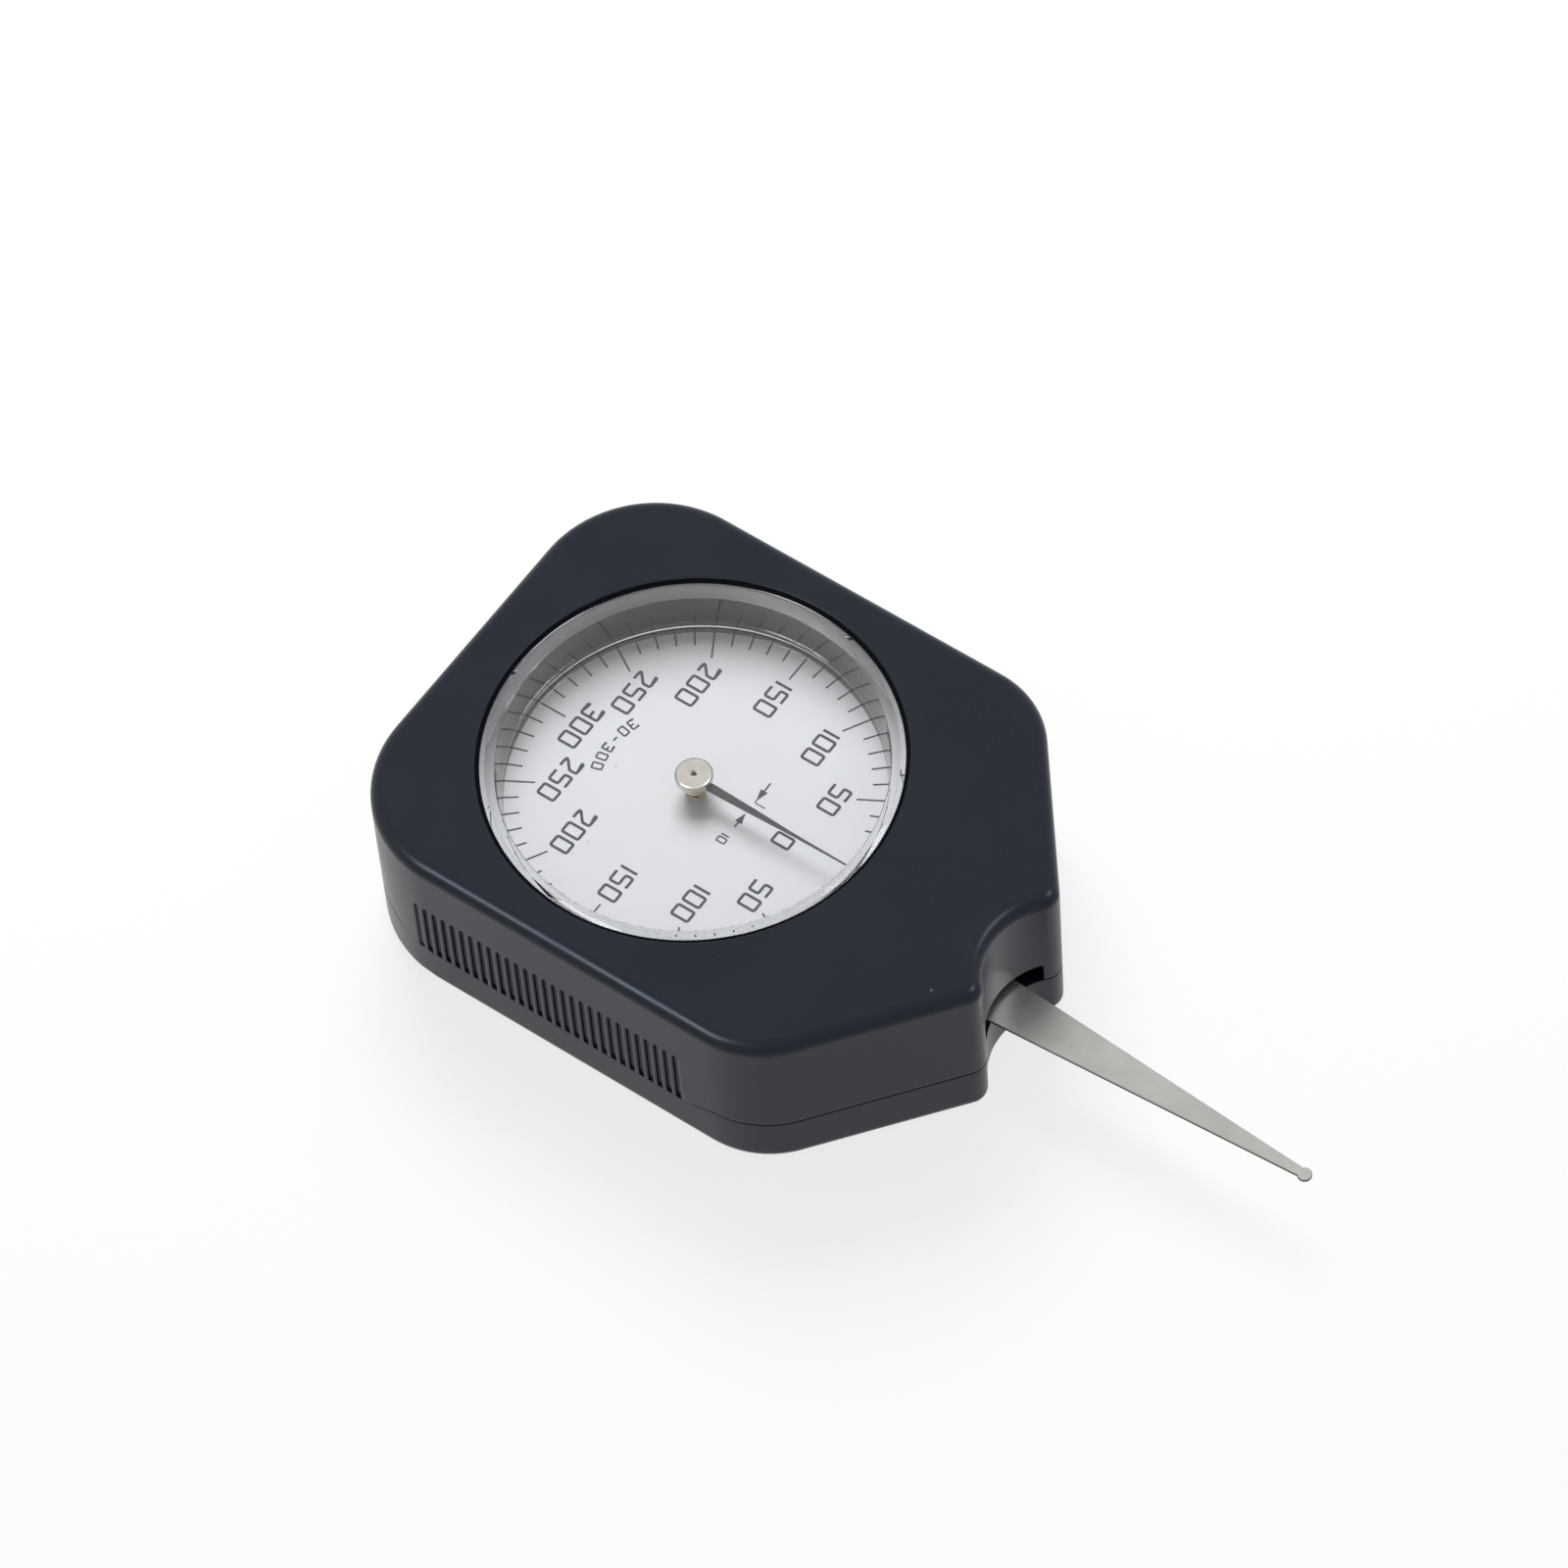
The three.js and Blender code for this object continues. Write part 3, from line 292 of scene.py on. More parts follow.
class Link:
    """A node's output. Numbers can be added, subtracted and multiplied."""

    def __init__(self, nodes, socket):
        self.nodes = nodes
        self.socket = socket

    def __add__(self, other):
        return self.nodes.math("ADD", self, other)

    def __sub__(self, other):
        return self.nodes.math("SUBTRACT", self, other)

    def __mul__(self, other):
        return self.nodes.math("MULTIPLY", self, other)


class Nodes:
    """A node tree, emptied, with short ways to add to it."""

    def __init__(self, tree):
        self.tree = tree
        tree.nodes.clear()

    def feed(self, socket, value):
        """Puts a value, a link or a list of links on a socket."""
        if isinstance(value, Link):
            value = [value]
        if isinstance(value, list):
            for link in value:
                self.tree.links.new(link.socket, socket)
        else:
            socket.default_value = value

    def node(self, kind, inputs=None, **settings):
        """A new node. Its settings come first, because some of them change its sockets."""
        made = self.tree.nodes.new(kind)
        for key, value in settings.items():
            setattr(made, key, value)
        for key, value in (inputs or {}).items():
            self.feed(made.inputs[key], value)
        return made

    def out(self, kind, inputs=None, socket=0, **settings):
        """One output of a new node, the first unless another is asked for."""
        return Link(self, self.node(kind, inputs, **settings).outputs[socket])

    def outs(self, kind, names, inputs=None):
        """Some outputs of a new node, by their names."""
        outputs = self.node(kind, inputs).outputs
        return [Link(self, outputs[name]) for name in names]

    def math(self, operation, *values):
        return self.out("ShaderNodeMath", dict(enumerate(values)), operation=operation)

    def vector(self, **parts):
        return self.out("ShaderNodeCombineXYZ", parts)

    def seen(self):
        """1 on rays that show the background: to the camera, in gloss and through glass."""
        rays = ("Is Camera Ray", "Is Glossy Ray", "Is Transmission Ray")
        camera, gloss, glass = self.outs("ShaderNodeLightPath", rays)
        return self.math("MAXIMUM", self.math("MAXIMUM", camera, gloss), glass)


class ShapeTree(Nodes):
    """A geometry node tree with named inputs, ending in realised instances and a material."""

    def __init__(self, name, inputs):
        super().__init__(bpy.data.node_groups.new(name, "GeometryNodeTree"))
        face = self.tree.interface
        for way in ("OUTPUT", "INPUT"):
            face.new_socket("Geometry", in_out=way, socket_type="NodeSocketGeometry")
        self.values = {}
        for label, value in inputs.items():
            kind = "NodeSocketInt" if isinstance(value, int) else "NodeSocketFloat"
            socket = face.new_socket(label, in_out="INPUT", socket_type=kind)
            self.values[socket.identifier] = value
        self.start = self.node("NodeGroupInput")

    def __getitem__(self, label):
        return Link(self, self.start.outputs[label])

    def rotation(self, turn):
        """A rotation about Z."""
        return self.out("FunctionNodeEulerToRotation", {"Euler": self.vector(Z=turn)})

    def finish(self, geometry, material):
        real = self.out("GeometryNodeRealizeInstances", {"Geometry": geometry})
        done = self.out("GeometryNodeSetMaterial", {"Geometry": real, "Material": material})
        self.node("NodeGroupOutput", {0: done})
        return self

    def bake(self, mesh, name):
        """The plain mesh that the tree makes of a mesh."""
        source = bpy.data.objects.new(name + "_source", mesh)
        bpy.context.scene.collection.objects.link(source)
        modifier = source.modifiers.new("shape", "NODES")
        modifier.node_group = self.tree
        for identifier, value in self.values.items():
            modifier[identifier] = value
        graph = bpy.context.evaluated_depsgraph_get()
        made = bpy.data.meshes.new_from_object(source.evaluated_get(graph))
        bpy.data.objects.remove(source)
        return made


# Meshes

def towards(turn):
    """The direction at an angle from X."""
    return Vector((math.cos(turn), math.sin(turn)))


def arc(centre, radius, start, end, steps):
    """Points on an arc and the directions from its centre."""
    points = []
    for i in range(steps + 1):
        turn = start + (end - start) * i / steps
        out = towards(turn)
        points.append((Vector(centre) + radius * out, out))
    return points


def circle(centre, radius, steps):
    return [p for p, _ in arc(centre, radius, 0, TURN, steps)[:-1]]


def quarter(steps, first=0):
    """Sines and cosines at even steps of a quarter turn, beginning at the first step."""
    turns = (math.pi / 2 * k / steps for k in range(first, steps + 1))
    return [(math.sin(turn), math.cos(turn)) for turn in turns]


def mirrored(points):
    """The points on the other side of the long axis."""
    return [Vector((p.x, -p.y)) for p in points]


def smooth_step(value):
    """Runs from 0 to 1 without a corner at either end."""
    value = min(max(value, 0.0), 1.0)
    return value * value * (3 - 2 * value)


def mesh_of(bm, name, sharp=35):
    """Ends a bmesh as a mesh, faces outwards and smooth up to the sharp angle in degrees."""
    bmesh.ops.recalc_face_normals(bm, faces=bm.faces)
    mesh = bpy.data.meshes.new(name)
    bm.to_mesh(mesh)
    bm.free()
    mesh.shade_smooth()
    mesh.set_sharp_from_angle(angle=math.radians(sharp))
    return mesh


def show(mesh, name, material, body, slot, *nodes):
    """Puts a mesh in the scene as a piece that rides on a body and stands for CAD nodes."""
    mesh.name = name
    piece = bpy.data.objects.new(name, mesh)
    bpy.context.scene.collection.objects.link(piece)
    if material is not None:
        mesh.materials.clear()
        mesh.materials.append(material)
    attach(piece, body)
    if nodes:
        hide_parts(*nodes)
    return piece


def bridge(bm, rows, wrap_rows=False):
    """Joins rows of vertices, each a closed loop, with faces."""
    pairs = list(zip(rows, rows[1:]))
    if wrap_rows:
        pairs.append((rows[-1], rows[0]))
    for low, high in pairs:
        for i in range(len(low)):
            j = (i + 1) % len(low)
            corners = list(dict.fromkeys([low[i], low[j], high[j], high[i]]))
            if len(corners) > 2:
                bm.faces.new(corners)


def lathe(profile, steps, sharp=35):
    """A profile of (radius, height) pairs turned about Z. Ends on the axis are closed."""
    bm = bmesh.new()
    turns = [TURN * i / steps for i in range(steps)]
    rows = []
    for radius, height in profile:
        if radius < ON_AXIS:
            rows.append([bm.verts.new((0, 0, height))] * steps)
            continue
        row = [(radius * math.cos(turn), radius * math.sin(turn), height) for turn in turns]
        rows.append([bm.verts.new(place) for place in row])
    bridge(bm, rows, wrap_rows=profile[0][0] > ON_AXIS)
    return mesh_of(bm, "turned", sharp)


def rounded(points, radius, steps=4, closed=False):
    """A polyline whose corners are rounded."""
    made = []
    total = len(points)
    for i, corner in enumerate(points):
        corner = Vector(corner)
        if not closed and i in (0, total - 1):
            made.append(corner)
            continue
        before, after = Vector(points[i - 1]) - corner, Vector(points[(i + 1) % total]) - corner
        bend = before.angle(after)
        reach = min(radius / math.tan(bend / 2), 0.45 * before.length, 0.45 * after.length)
        start, end = corner + before.normalized() * reach, corner + after.normalized() * reach
        for k in range(steps + 1):
            t = k / steps
            made.append(start * (1 - t) ** 2 + corner * 2 * t * (1 - t) + end * t * t)
    return made


# Case

def case_stations(sizes, ribbed):
    """Points once round the case from the middle of the nose, with outward directions."""
    half = sizes.width / 2
    tip = Vector((sizes.tip_reach, sizes.tip_offset))
    run, fall = tip.x - sizes.shoulder_reach, half - tip.y
    slope = math.acos(sizes.tip_radius / math.hypot(run, fall)) - math.atan2(run, fall)
    out = Vector((math.sin(slope), math.cos(slope)))
    arc_reach = tip.x + math.sqrt((sizes.arc_radius + sizes.tip_radius) ** 2 - tip.y ** 2)
    meet = math.atan2(tip.y, tip.x - arc_reach)
    face = math.atan2(out.y, out.x)

    def nose_point(y):
        inward = towards(math.pi - math.asin(y / sizes.arc_radius))
        return Vector((arc_reach, 0)) + sizes.arc_radius * inward, -inward

    inner = sizes.slot_half - sizes.slot_corner
    last = sizes.arc_radius * math.sin(meet)
    levels = [inner * i / ARC_STEPS for i in range(ARC_STEPS + 1)]
    levels += [inner + sizes.slot_corner * sine for sine, _ in quarter(6, 1)]
    levels += [sizes.slot_half + 2 * HAIR, (sizes.slot_half + last) / 2 + HAIR]
    stations = [nose_point(y) for y in levels]
    stations += arc(tip, sizes.tip_radius, meet - math.pi, face, ARC_STEPS)
    shoulder_y = half - sizes.shoulder_radius
    reach = sizes.shoulder_reach * out.x + half * out.y - sizes.shoulder_radius
    shoulder = Vector(((reach - shoulder_y * out.y) / out.x, shoulder_y))
    start, end = stations[-1][0], shoulder + sizes.shoulder_radius * out
    stations += [(start.lerp(end, i / 12), out.copy()) for i in range(1, 12)]
    stations += arc(shoulder, sizes.shoulder_radius, face, math.pi / 2, ARC_STEPS)
    corner = Vector((sizes.back_radius - sizes.back_reach, half - sizes.back_radius))

    def side_point(x):
        if x >= corner.x:
            return Vector((x, half)), Vector((0, 1))
        outward = towards(math.acos((x - corner.x) / sizes.back_radius))
        return corner + sizes.back_radius * outward, outward

    columns = side_columns(sizes) if ribbed else [sizes.dip_half * (1 - i / 8) for i in range(17)]
    stations += [side_point(x) for x in columns]
    turn = math.acos((columns[-1] - corner.x) / sizes.back_radius)
    stations += arc(corner, sizes.back_radius, turn, math.pi, 18)[1:]
    stations += [
        (Vector((-sizes.back_reach, corner.y * (1 - i / 10))), Vector((-1, 0))) for i in range(1, 11)
    ]
    return stations + [tuple(mirrored(pair)) for pair in reversed(stations[1:-1])]


def side_columns(sizes):
    """Places along a long side, set close where the walls of the grooves are."""
    half, draft = sizes.groove_width / 2, sizes.groove_draft
    right = [(half - draft) / 2, *(half - draft * (1 - i / 4) for i in range(5))]
    offsets = sorted({0, *right, *(-v for v in right)}, reverse=True)
    first = sizes.groove_pitch * (sizes.grooves - 1) / 2
    columns = [sizes.dip_half]
    for i in range(sizes.grooves):
        centre = first - sizes.groove_pitch * i
        columns += [centre + v for v in offsets]
        columns.append(centre - sizes.groove_pitch / 2)
    columns[-1] = -sizes.dip_half
    return columns


def seam_share(sizes, point):
    """1 where the parting line runs at its full height and 0 where it has dropped."""
    if abs(point.y) < sizes.width / 2 - sizes.wall:
        return 1.0
    return smooth_step((abs(point.x) - sizes.dip_half) / sizes.dip_ramp)


def case_row(bm, stations, inset, height):
    """One loop of vertices round the case. Inset and height are values or functions."""
    row = []
    for point, out in stations:
        draw = inset(point) if callable(inset) else inset
        level = height(point) if callable(height) else height
        place = point - out * draw
        row.append(bm.verts.new((place.x, place.y, level)))
    return row


def circle_row(bm, stations, radius, height):
    """One loop of vertices on a circle, each in line with its station."""
    row = []
    for point, _ in stations:
        place = point.normalized() * radius
        row.append(bm.verts.new((place.x, place.y, height)))
    return row


def front_case_mesh(sizes):
    bm = bmesh.new()
    stations = case_stations(sizes, ribbed=True)
    seam_low = sizes.seam - sizes.seam_dip
    nose_reach = sizes.tip_reach + sizes.tip_radius
    soft, edge, round_over = sizes.soft_edge, sizes.opening_edge, sizes.edge_radius
    rows = []

    def wall(inset, height):
        rows.append(case_row(bm, stations, inset, height))

    def ring(radius, height):
        rows.append(circle_row(bm, stations, radius, height))

    def slot_edge(point):
        across = max(abs(point.y) - sizes.slot_half + sizes.slot_corner, 0)
        drop = sizes.slot_corner - math.sqrt(max(sizes.slot_corner ** 2 - across ** 2, 0))
        return sizes.slot_top - drop

    def at_slot(point):
        return point.x > nose_reach / 2 and abs(point.y) <= sizes.slot_half + HAIR

    def low(point):
        if at_slot(point):
            return slot_edge(point)
        return seam_low + sizes.seam_dip * seam_share(sizes, point) + HAIR

    def line(point):
        return 0 if at_slot(point) else seam_share(sizes, point)

    def line_inset(point):
        return max(soft, sizes.line_depth * line(point))

    def line_top(point):
        return low(point) + max(0.3 * soft, sizes.line_width * line(point))

    wall(sizes.wall, low)
    wall(line_inset, low)
    wall(line_inset, line_top)
    wall(soft, line_top)
    for sine, cosine in quarter(3, 1):
        wall(soft * (1 - sine), lambda p: line_top(p) + soft * (1 - cosine))
    clear = sizes.slot_top + 0.4 * MM
    for part in (0.08, 0.5):
        wall(0, lambda p: (line_top(p) + soft) * (1 - part) + clear * part)
    end, fillet_base = sizes.groove_top, sizes.top - round_over
    # The levels lie close together at the grooves' round upper ends
    levels = [clear, end - 2 * MM, end - 0.6 * MM]
    levels += [end - (0.5 - 0.045 * i) * MM for i in range(14)]
    levels += [end + 0.6 * MM, (end + fillet_base) / 2, fillet_base - BAND]
    for level in levels:
        wall(0, level)
    for sine, cosine in quarter(FILLET_STEPS):
        wall(round_over * (1 - cosine), fillet_base + round_over * sine)
    wall(round_over + BAND, sizes.top)
    ring(sizes.opening + edge + BAND, sizes.top)
    for sine, cosine in quarter(5):
        ring(sizes.opening + edge * (1 - sine), sizes.top - edge * (1 - cosine))
    ring(sizes.opening, sizes.recess_top)
    ring(sizes.recess, sizes.recess_top)
    ring(sizes.recess, sizes.ceiling)
    wall(sizes.wall, sizes.ceiling)
    bridge(bm, rows, wrap_rows=True)
    return mesh_of(bm, "front_case")


def painted_shade_lip_mesh(sizes):
    """A dark sleeve that closes the opening round the crystal, down to the dial. It is painted shade: a dark body
    set where the gap round the crystal lies in shadow.
    """
    top, bottom = sizes.top - sizes.lip_drop, DIAL_TOP + 0.06 * MM
    inner, outer = sizes.opening - sizes.lip_width, sizes.opening + 0.05 * MM
    profile = [(inner, bottom), (outer, bottom), (outer, top), (inner, top - 0.1 * MM)]
    return lathe(profile, 192)


def rib_tree(sizes, material):
    """Presses the grip grooves into the long sides of a case wall."""
    shape = ShapeTree("Grip ribs", {
        "Grooves": sizes.grooves,
        "Pitch": sizes.groove_pitch,
        "Width": sizes.groove_width,
        "Depth": sizes.groove_depth,
        "Top": sizes.groove_top,
        "Draft": sizes.groove_draft,
        "Side": sizes.width / 2,
    })
    place = shape.out("GeometryNodeInputPosition")
    x, y, z = shape.outs("ShaderNodeSeparateXYZ", "XYZ", {"Vector": place})
    half_pitch, half = shape["Pitch"] * 0.5, shape["Width"] * 0.5
    along = shape.math("WRAP", x, half_pitch, half_pitch * -1.0)
    rise = shape.math("MAXIMUM", z - shape["Top"] + half, 0.0)
    deep = shape.out("ShaderNodeMapRange", {
        "Value": shape.math("SQRT", along * along + rise * rise),
        "From Min": half, "From Max": half - shape["Draft"], "To Min": 0.0, "To Max": 1.0,
    }, interpolation_type="SMOOTHSTEP")
    away = shape.math("ABSOLUTE", y)
    bottom = shape["Side"] - shape["Depth"]
    in_run = shape.math("LESS_THAN", shape.math("ABSOLUTE", x), shape["Grooves"] * half_pitch)
    outside = shape.math("GREATER_THAN", away, bottom)
    below = shape.math("LESS_THAN", z, shape["Top"] + half)
    travel = (bottom - away) * deep * shape.math("SIGN", y)
    moved = shape.out("GeometryNodeSetPosition", {
        "Geometry": shape["Geometry"], "Selection": in_run * outside * below,
        "Offset": shape.vector(Y=travel),
    })
    return shape.finish(moved, material)


def fill_face(bm, loops):
    """Closes a flat region between loops of vertices with triangles."""
    edges = [
        bm.edges.get((loop[i - 1], loop[i])) or bm.edges.new((loop[i - 1], loop[i]))
        for loop in loops for i in range(len(loop))
    ]
    bmesh.ops.triangle_fill(bm, use_beauty=True, use_dissolve=False, edges=edges)


def back_cover_mesh(sizes):
    bm = bmesh.new()
    stations = case_stations(sizes, ribbed=False)
    seam_low = sizes.seam - sizes.seam_dip
    round_over, soft, bore = sizes.edge_radius, sizes.soft_edge, sizes.bore_radius
    rows = []

    def wall(inset, height):
        rows.append(case_row(bm, stations, inset, height))

    def rim(point):
        return seam_low + sizes.seam_dip * seam_share(sizes, point)

    wall(round_over + BAND, 0)
    for sine, cosine in quarter(FILLET_STEPS):
        wall(round_over * (1 - sine), round_over * (1 - cosine))
    wall(0, round_over + BAND)
    wall(0, lambda p: (round_over + rim(p)) / 2)
    wall(0, lambda p: rim(p) - 2 * soft)
    for sine, cosine in quarter(3):
        wall(soft * (1 - cosine), lambda p: rim(p) - soft * (1 - sine))
    wall(sizes.wall, rim)
    wall(sizes.wall, sizes.floor)
    bridge(bm, rows)
    fill_face(bm, [rows[-1]])
    loops = [rows[0]]
    chamfer = 0.15 * MM
    levels = [(bore + chamfer, 0), (bore, chamfer), (bore, sizes.bore_depth)]
    for place in SCREW_PLACES:
        circles = [
            [bm.verts.new((*point, height)) for point in circle(place.xy, radius, SCREW_STEPS)]
            for radius, height in levels
        ]
        bridge(bm, circles)
        bm.faces.new(circles[-1])
        loops.append(circles[0])
    fill_face(bm, loops)
    return mesh_of(bm, "back_cover")


def screw_mesh(sizes):
    """One case screw with its head down, at the origin."""
    low, head, shank = sizes.head_sink, sizes.head_radius, sizes.shank_radius
    shoulder = low + sizes.head_height
    top = shoulder + sizes.shank_length
    soft = 0.2 * MM
    profile = [(0, low), (head - soft, low)]
    profile += [(head - soft * (1 - s), low + soft * (1 - c)) for s, c in quarter(4, 1)]
    profile += [(head, shoulder), (shank, shoulder), (shank, top - shank / 2)]
    profile += [(shank / 2, top), (0, top)]
    return lathe(profile, SCREW_STEPS)


def screw_tree(sizes, material):
    """Cuts a cross into a screw's head and sets a screw in each of the four places."""
    rear = max(SCREW_PLACES[:2], key=lambda p: p.y)
    front = max(SCREW_PLACES[2:], key=lambda p: p.y)
    shape = ShapeTree("Case screws", {
        "Rear X": rear.x, "Rear Y": rear.y, "Front X": front.x, "Front Y": front.y,
        "Slot width": sizes.slot_width,
        "Slot length": 1.25 * sizes.head_radius,
        "Slot depth": sizes.slot_depth,
        "Sink": sizes.head_sink,
        "Seed": 4,
    })
    lift = shape.vector(Z=shape["Sink"])
    bars = []
    for x, y in (("Slot length", "Slot width"), ("Slot width", "Slot length")):
        span = shape.vector(X=shape[x], Y=shape[y], Z=shape["Slot depth"] * 2.0)
        cube = shape.out("GeometryNodeMeshCube", {"Size": span})
        bars.append(shape.out("GeometryNodeTransform", {"Geometry": cube, "Translation": lift}))
    cross = shape.out("GeometryNodeMeshBoolean", {"Mesh": bars}, operation="UNION", solver="EXACT")
    cut = shape.out("GeometryNodeMeshBoolean", {
        "Mesh 1": shape["Geometry"], "Mesh 2": cross,
    }, operation="DIFFERENCE", solver="EXACT")
    pairs = []
    for end in ("Rear", "Front"):
        y = shape[end + " Y"]
        pairs.append(shape.out("GeometryNodeMeshLine", {
            "Count": 2, "Start Location": shape.vector(X=shape[end + " X"], Y=y),
            "Offset": shape.vector(Y=y * -2.0),
        }))
    turn = shape.out(
        "FunctionNodeRandomValue", {3: TURN, "Seed": shape["Seed"]}, 1, data_type="FLOAT"
    )
    placed = shape.out("GeometryNodeInstanceOnPoints", {
        "Points": shape.out("GeometryNodeJoinGeometry", {0: pairs}),
        "Instance": cut, "Rotation": shape.rotation(turn),
    })
    return shape.finish(placed, material)


# Dial

def tick_tree(sizes, material):
    """Sets the divisions round the dial, a longer one at every fifth place."""
    shape = ShapeTree("Dial divisions", {
        "Count": sizes.ticks,
        "First": sizes.tick_first,
        "Step": sizes.tick_step,
        "Outer": sizes.tick_outer,
        "Inner": sizes.tick_inner,
        "Main inner": sizes.main_inner,
        "Width": sizes.tick_width,
        "Thickness": sizes.print_depth,
        "Level": DIAL_TOP,
        "Main offset": 3,
    })
    index = shape.out("GeometryNodeInputIndex")
    turn = shape["First"] + index * shape["Step"]
    place = shape.math("MODULO", index + shape["Main offset"], 5.0)
    is_main = shape.math("LESS_THAN", place, 0.5)
    inner = shape["Inner"] - is_main * (shape["Inner"] - shape["Main inner"])
    middle = (inner + shape["Outer"]) * 0.5
    spot = shape.vector(
        X=middle * shape.math("COSINE", turn), Y=middle * shape.math("SINE", turn),
        Z=shape["Level"] + shape["Thickness"] * 0.5,
    )
    placed = shape.out("GeometryNodeInstanceOnPoints", {
        "Points": shape.out("GeometryNodePoints", {"Count": shape["Count"], "Position": spot}),
        "Instance": shape.out("GeometryNodeMeshCube"),
        "Rotation": shape.rotation(turn),
        "Scale": shape.vector(X=shape["Outer"] - inner, Y=shape["Width"], Z=shape["Thickness"]),
    })
    return shape.finish(placed, material)


# Centre lines of the digits in shares of width and height, and whether each is closed
DIGIT_SHARES = {
    "0": [([(0, 0), (1, 0), (1, 1), (0, 1)], True)],
    "1": [([(0, 0), (0, 1)], False)],
    "2": [([(0, 0.84), (0, 1), (1, 1), (1, 0.57), (0, 0), (1, 0)], False)],
    "3": [([(0, 0.84), (0, 1), (1, 1), (1, 0), (0, 0), (0, 0.16)], False),
          ([(0.35, 0.52), (1, 0.52)], False)],
    "5": [([(1, 1), (0, 1), (0, 0.56), (1, 0.56), (1, 0), (0, 0)], False)],
    "-": [([(0.1, 0.5), (0.9, 0.5)], False)],
}


class Print:
    """Flat ink on the dial, built from lines and filled outlines."""

    def __init__(self, level, thickness):
        self.bm = bmesh.new()
        self.levels = (level, level + thickness)

    def prism(self, outline, holes=()):
        """A flat body between the dial's face and the top of the ink."""
        loops = [outline, *holes]
        low, high = (
            [[self.bm.verts.new((*point, level)) for point in loop] for loop in loops]
            for level in self.levels
        )
        for bottom, top in zip(low, high):
            bridge(self.bm, [bottom, top])
        fill_face(self.bm, low)
        fill_face(self.bm, high)

    def line(self, points, stroke, closed=False):
        """A line of even width through the points."""
        left, right = [], []
        total = len(points)
        for i, point in enumerate(points):
            one = (point - points[i - 1]).normalized() if closed or i else None
            two = None
            if closed or i < total - 1:
                two = (points[(i + 1) % total] - point).normalized()
            first = one or two
            ahead = (first + (two or one)).normalized()
            side = Vector((-ahead.y, ahead.x))
            reach = stroke / 2 / max(side.dot(Vector((-first.y, first.x))), 0.5)
            left.append(point + side * reach)
            right.append(point - side * reach)
        if closed:
            self.prism(left, [right])
        else:
            self.prism(left + right[::-1])

    def arrow(self, tip, direction, length, head_length, head_half, stroke):
        side = Vector((-direction.y, direction.x))
        base, tail = tip - direction * head_length, tip - direction * length
        half = side * stroke / 2
        self.prism([
            tip, base + side * head_half, base + half, tail + half,
            tail - half, base - half, base - side * head_half,
        ])

    def number(self, text, place, height, sizes, turn=0.0):
        """A number centred on a place. At turn 0 its top is towards the nose."""
        scale = height / sizes.digit_height
        stroke = sizes.digit_stroke * scale ** SMALL_PRINT_POWER
        width, gap = sizes.digit_width * scale, sizes.digit_gap * scale
        widths = [stroke if c == "1" else width for c in text]
        along = -(sum(widths) + gap * (len(text) - 1)) / 2
        up = towards(turn)
        right = Vector((up.y, -up.x))
        for c, wide in zip(text, widths):
            for shares, closed in DIGIT_SHARES[c]:
                points = [
                    place + right * (along + stroke / 2 + sx * (wide - stroke))
                    + up * (-height / 2 + stroke / 2 + sy * (height - stroke))
                    for sx, sy in shares
                ]
                corners = rounded(points, sizes.digit_corner * scale, 4, closed)
                self.line(corners, stroke, closed)
            along += wide + gap


# Places of the numbers: text, reach towards the nose and offset to the left, in millimetres
NUMBER_PLACES = [
    ("50", 14.3, 8.0), ("100", 8.7, 13.1), ("150", 0, 15.6),
    ("200", -8.65, 12.5), ("250", -14.3, 7.4), ("300", -16.7, 0),
    ("250", -14.3, -7.4), ("200", -8.65, -12.5), ("150", 0, -15.6),
    ("100", 8.7, -13.1), ("50", 14.3, -8.0), ("0", 12.6, 0),
]


def number_mesh(sizes):
    ink = Print(DIAL_TOP, sizes.print_depth)
    for text, x, y in NUMBER_PLACES:
        ink.number(text, Vector((x, y)) * MM, sizes.digit_height, sizes)
    note = sizes.note_height
    ink.number("10", Vector((6.55, -3.7)) * MM, note, sizes)
    step = 1.25 * (sizes.digit_width + 1.2 * sizes.digit_gap) * note / sizes.digit_height
    row = "30-300"
    for i, character in enumerate(row):
        turn = (i - (len(row) - 1) / 2) * step / sizes.note_radius
        place = -towards(turn) * sizes.note_radius
        ink.number(character, place, 1.15 * note, sizes, turn)
    x, stroke, head_half = 6.75 * MM, 0.22 * MM, 0.5 * MM
    for tip, way, reach, head in ((2.75, -1, 3.0, 1.7), (0.72, 1, 2.3, 1.55)):
        ink.arrow(Vector((x, tip * MM)), Vector((0, way)), reach * MM, head * MM, head_half, stroke)
    hook = [Vector((x + dx * MM, y * MM)) for dx, y in ((0, 3.0), (0, 2.5), (1.5, 2.5))]
    ink.line(rounded(hook, 0.3 * MM, 5), 0.7 * stroke)
    return mesh_of(ink.bm, "print")


def crystal_mesh(sizes):
    low, top, radius = DIAL_TOP + 2 * sizes.print_depth, CRYSTAL_HIGH.z, sizes.crystal_radius
    under, bevel, inner = top - sizes.window, sizes.crystal_bevel, sizes.crystal_inner
    soft = 0.12 * MM
    profile = [Vector(p) for p in (
        (0, under), (inner, under), (inner - sizes.crystal_draft, low), (radius, low),
        (radius, top - 0.5 * bevel), (radius - bevel, top), (0, top),
    )]
    return lathe([tuple(p) for p in rounded(profile, soft, 3)], 360, 25)


# Pointer, cap and feeler

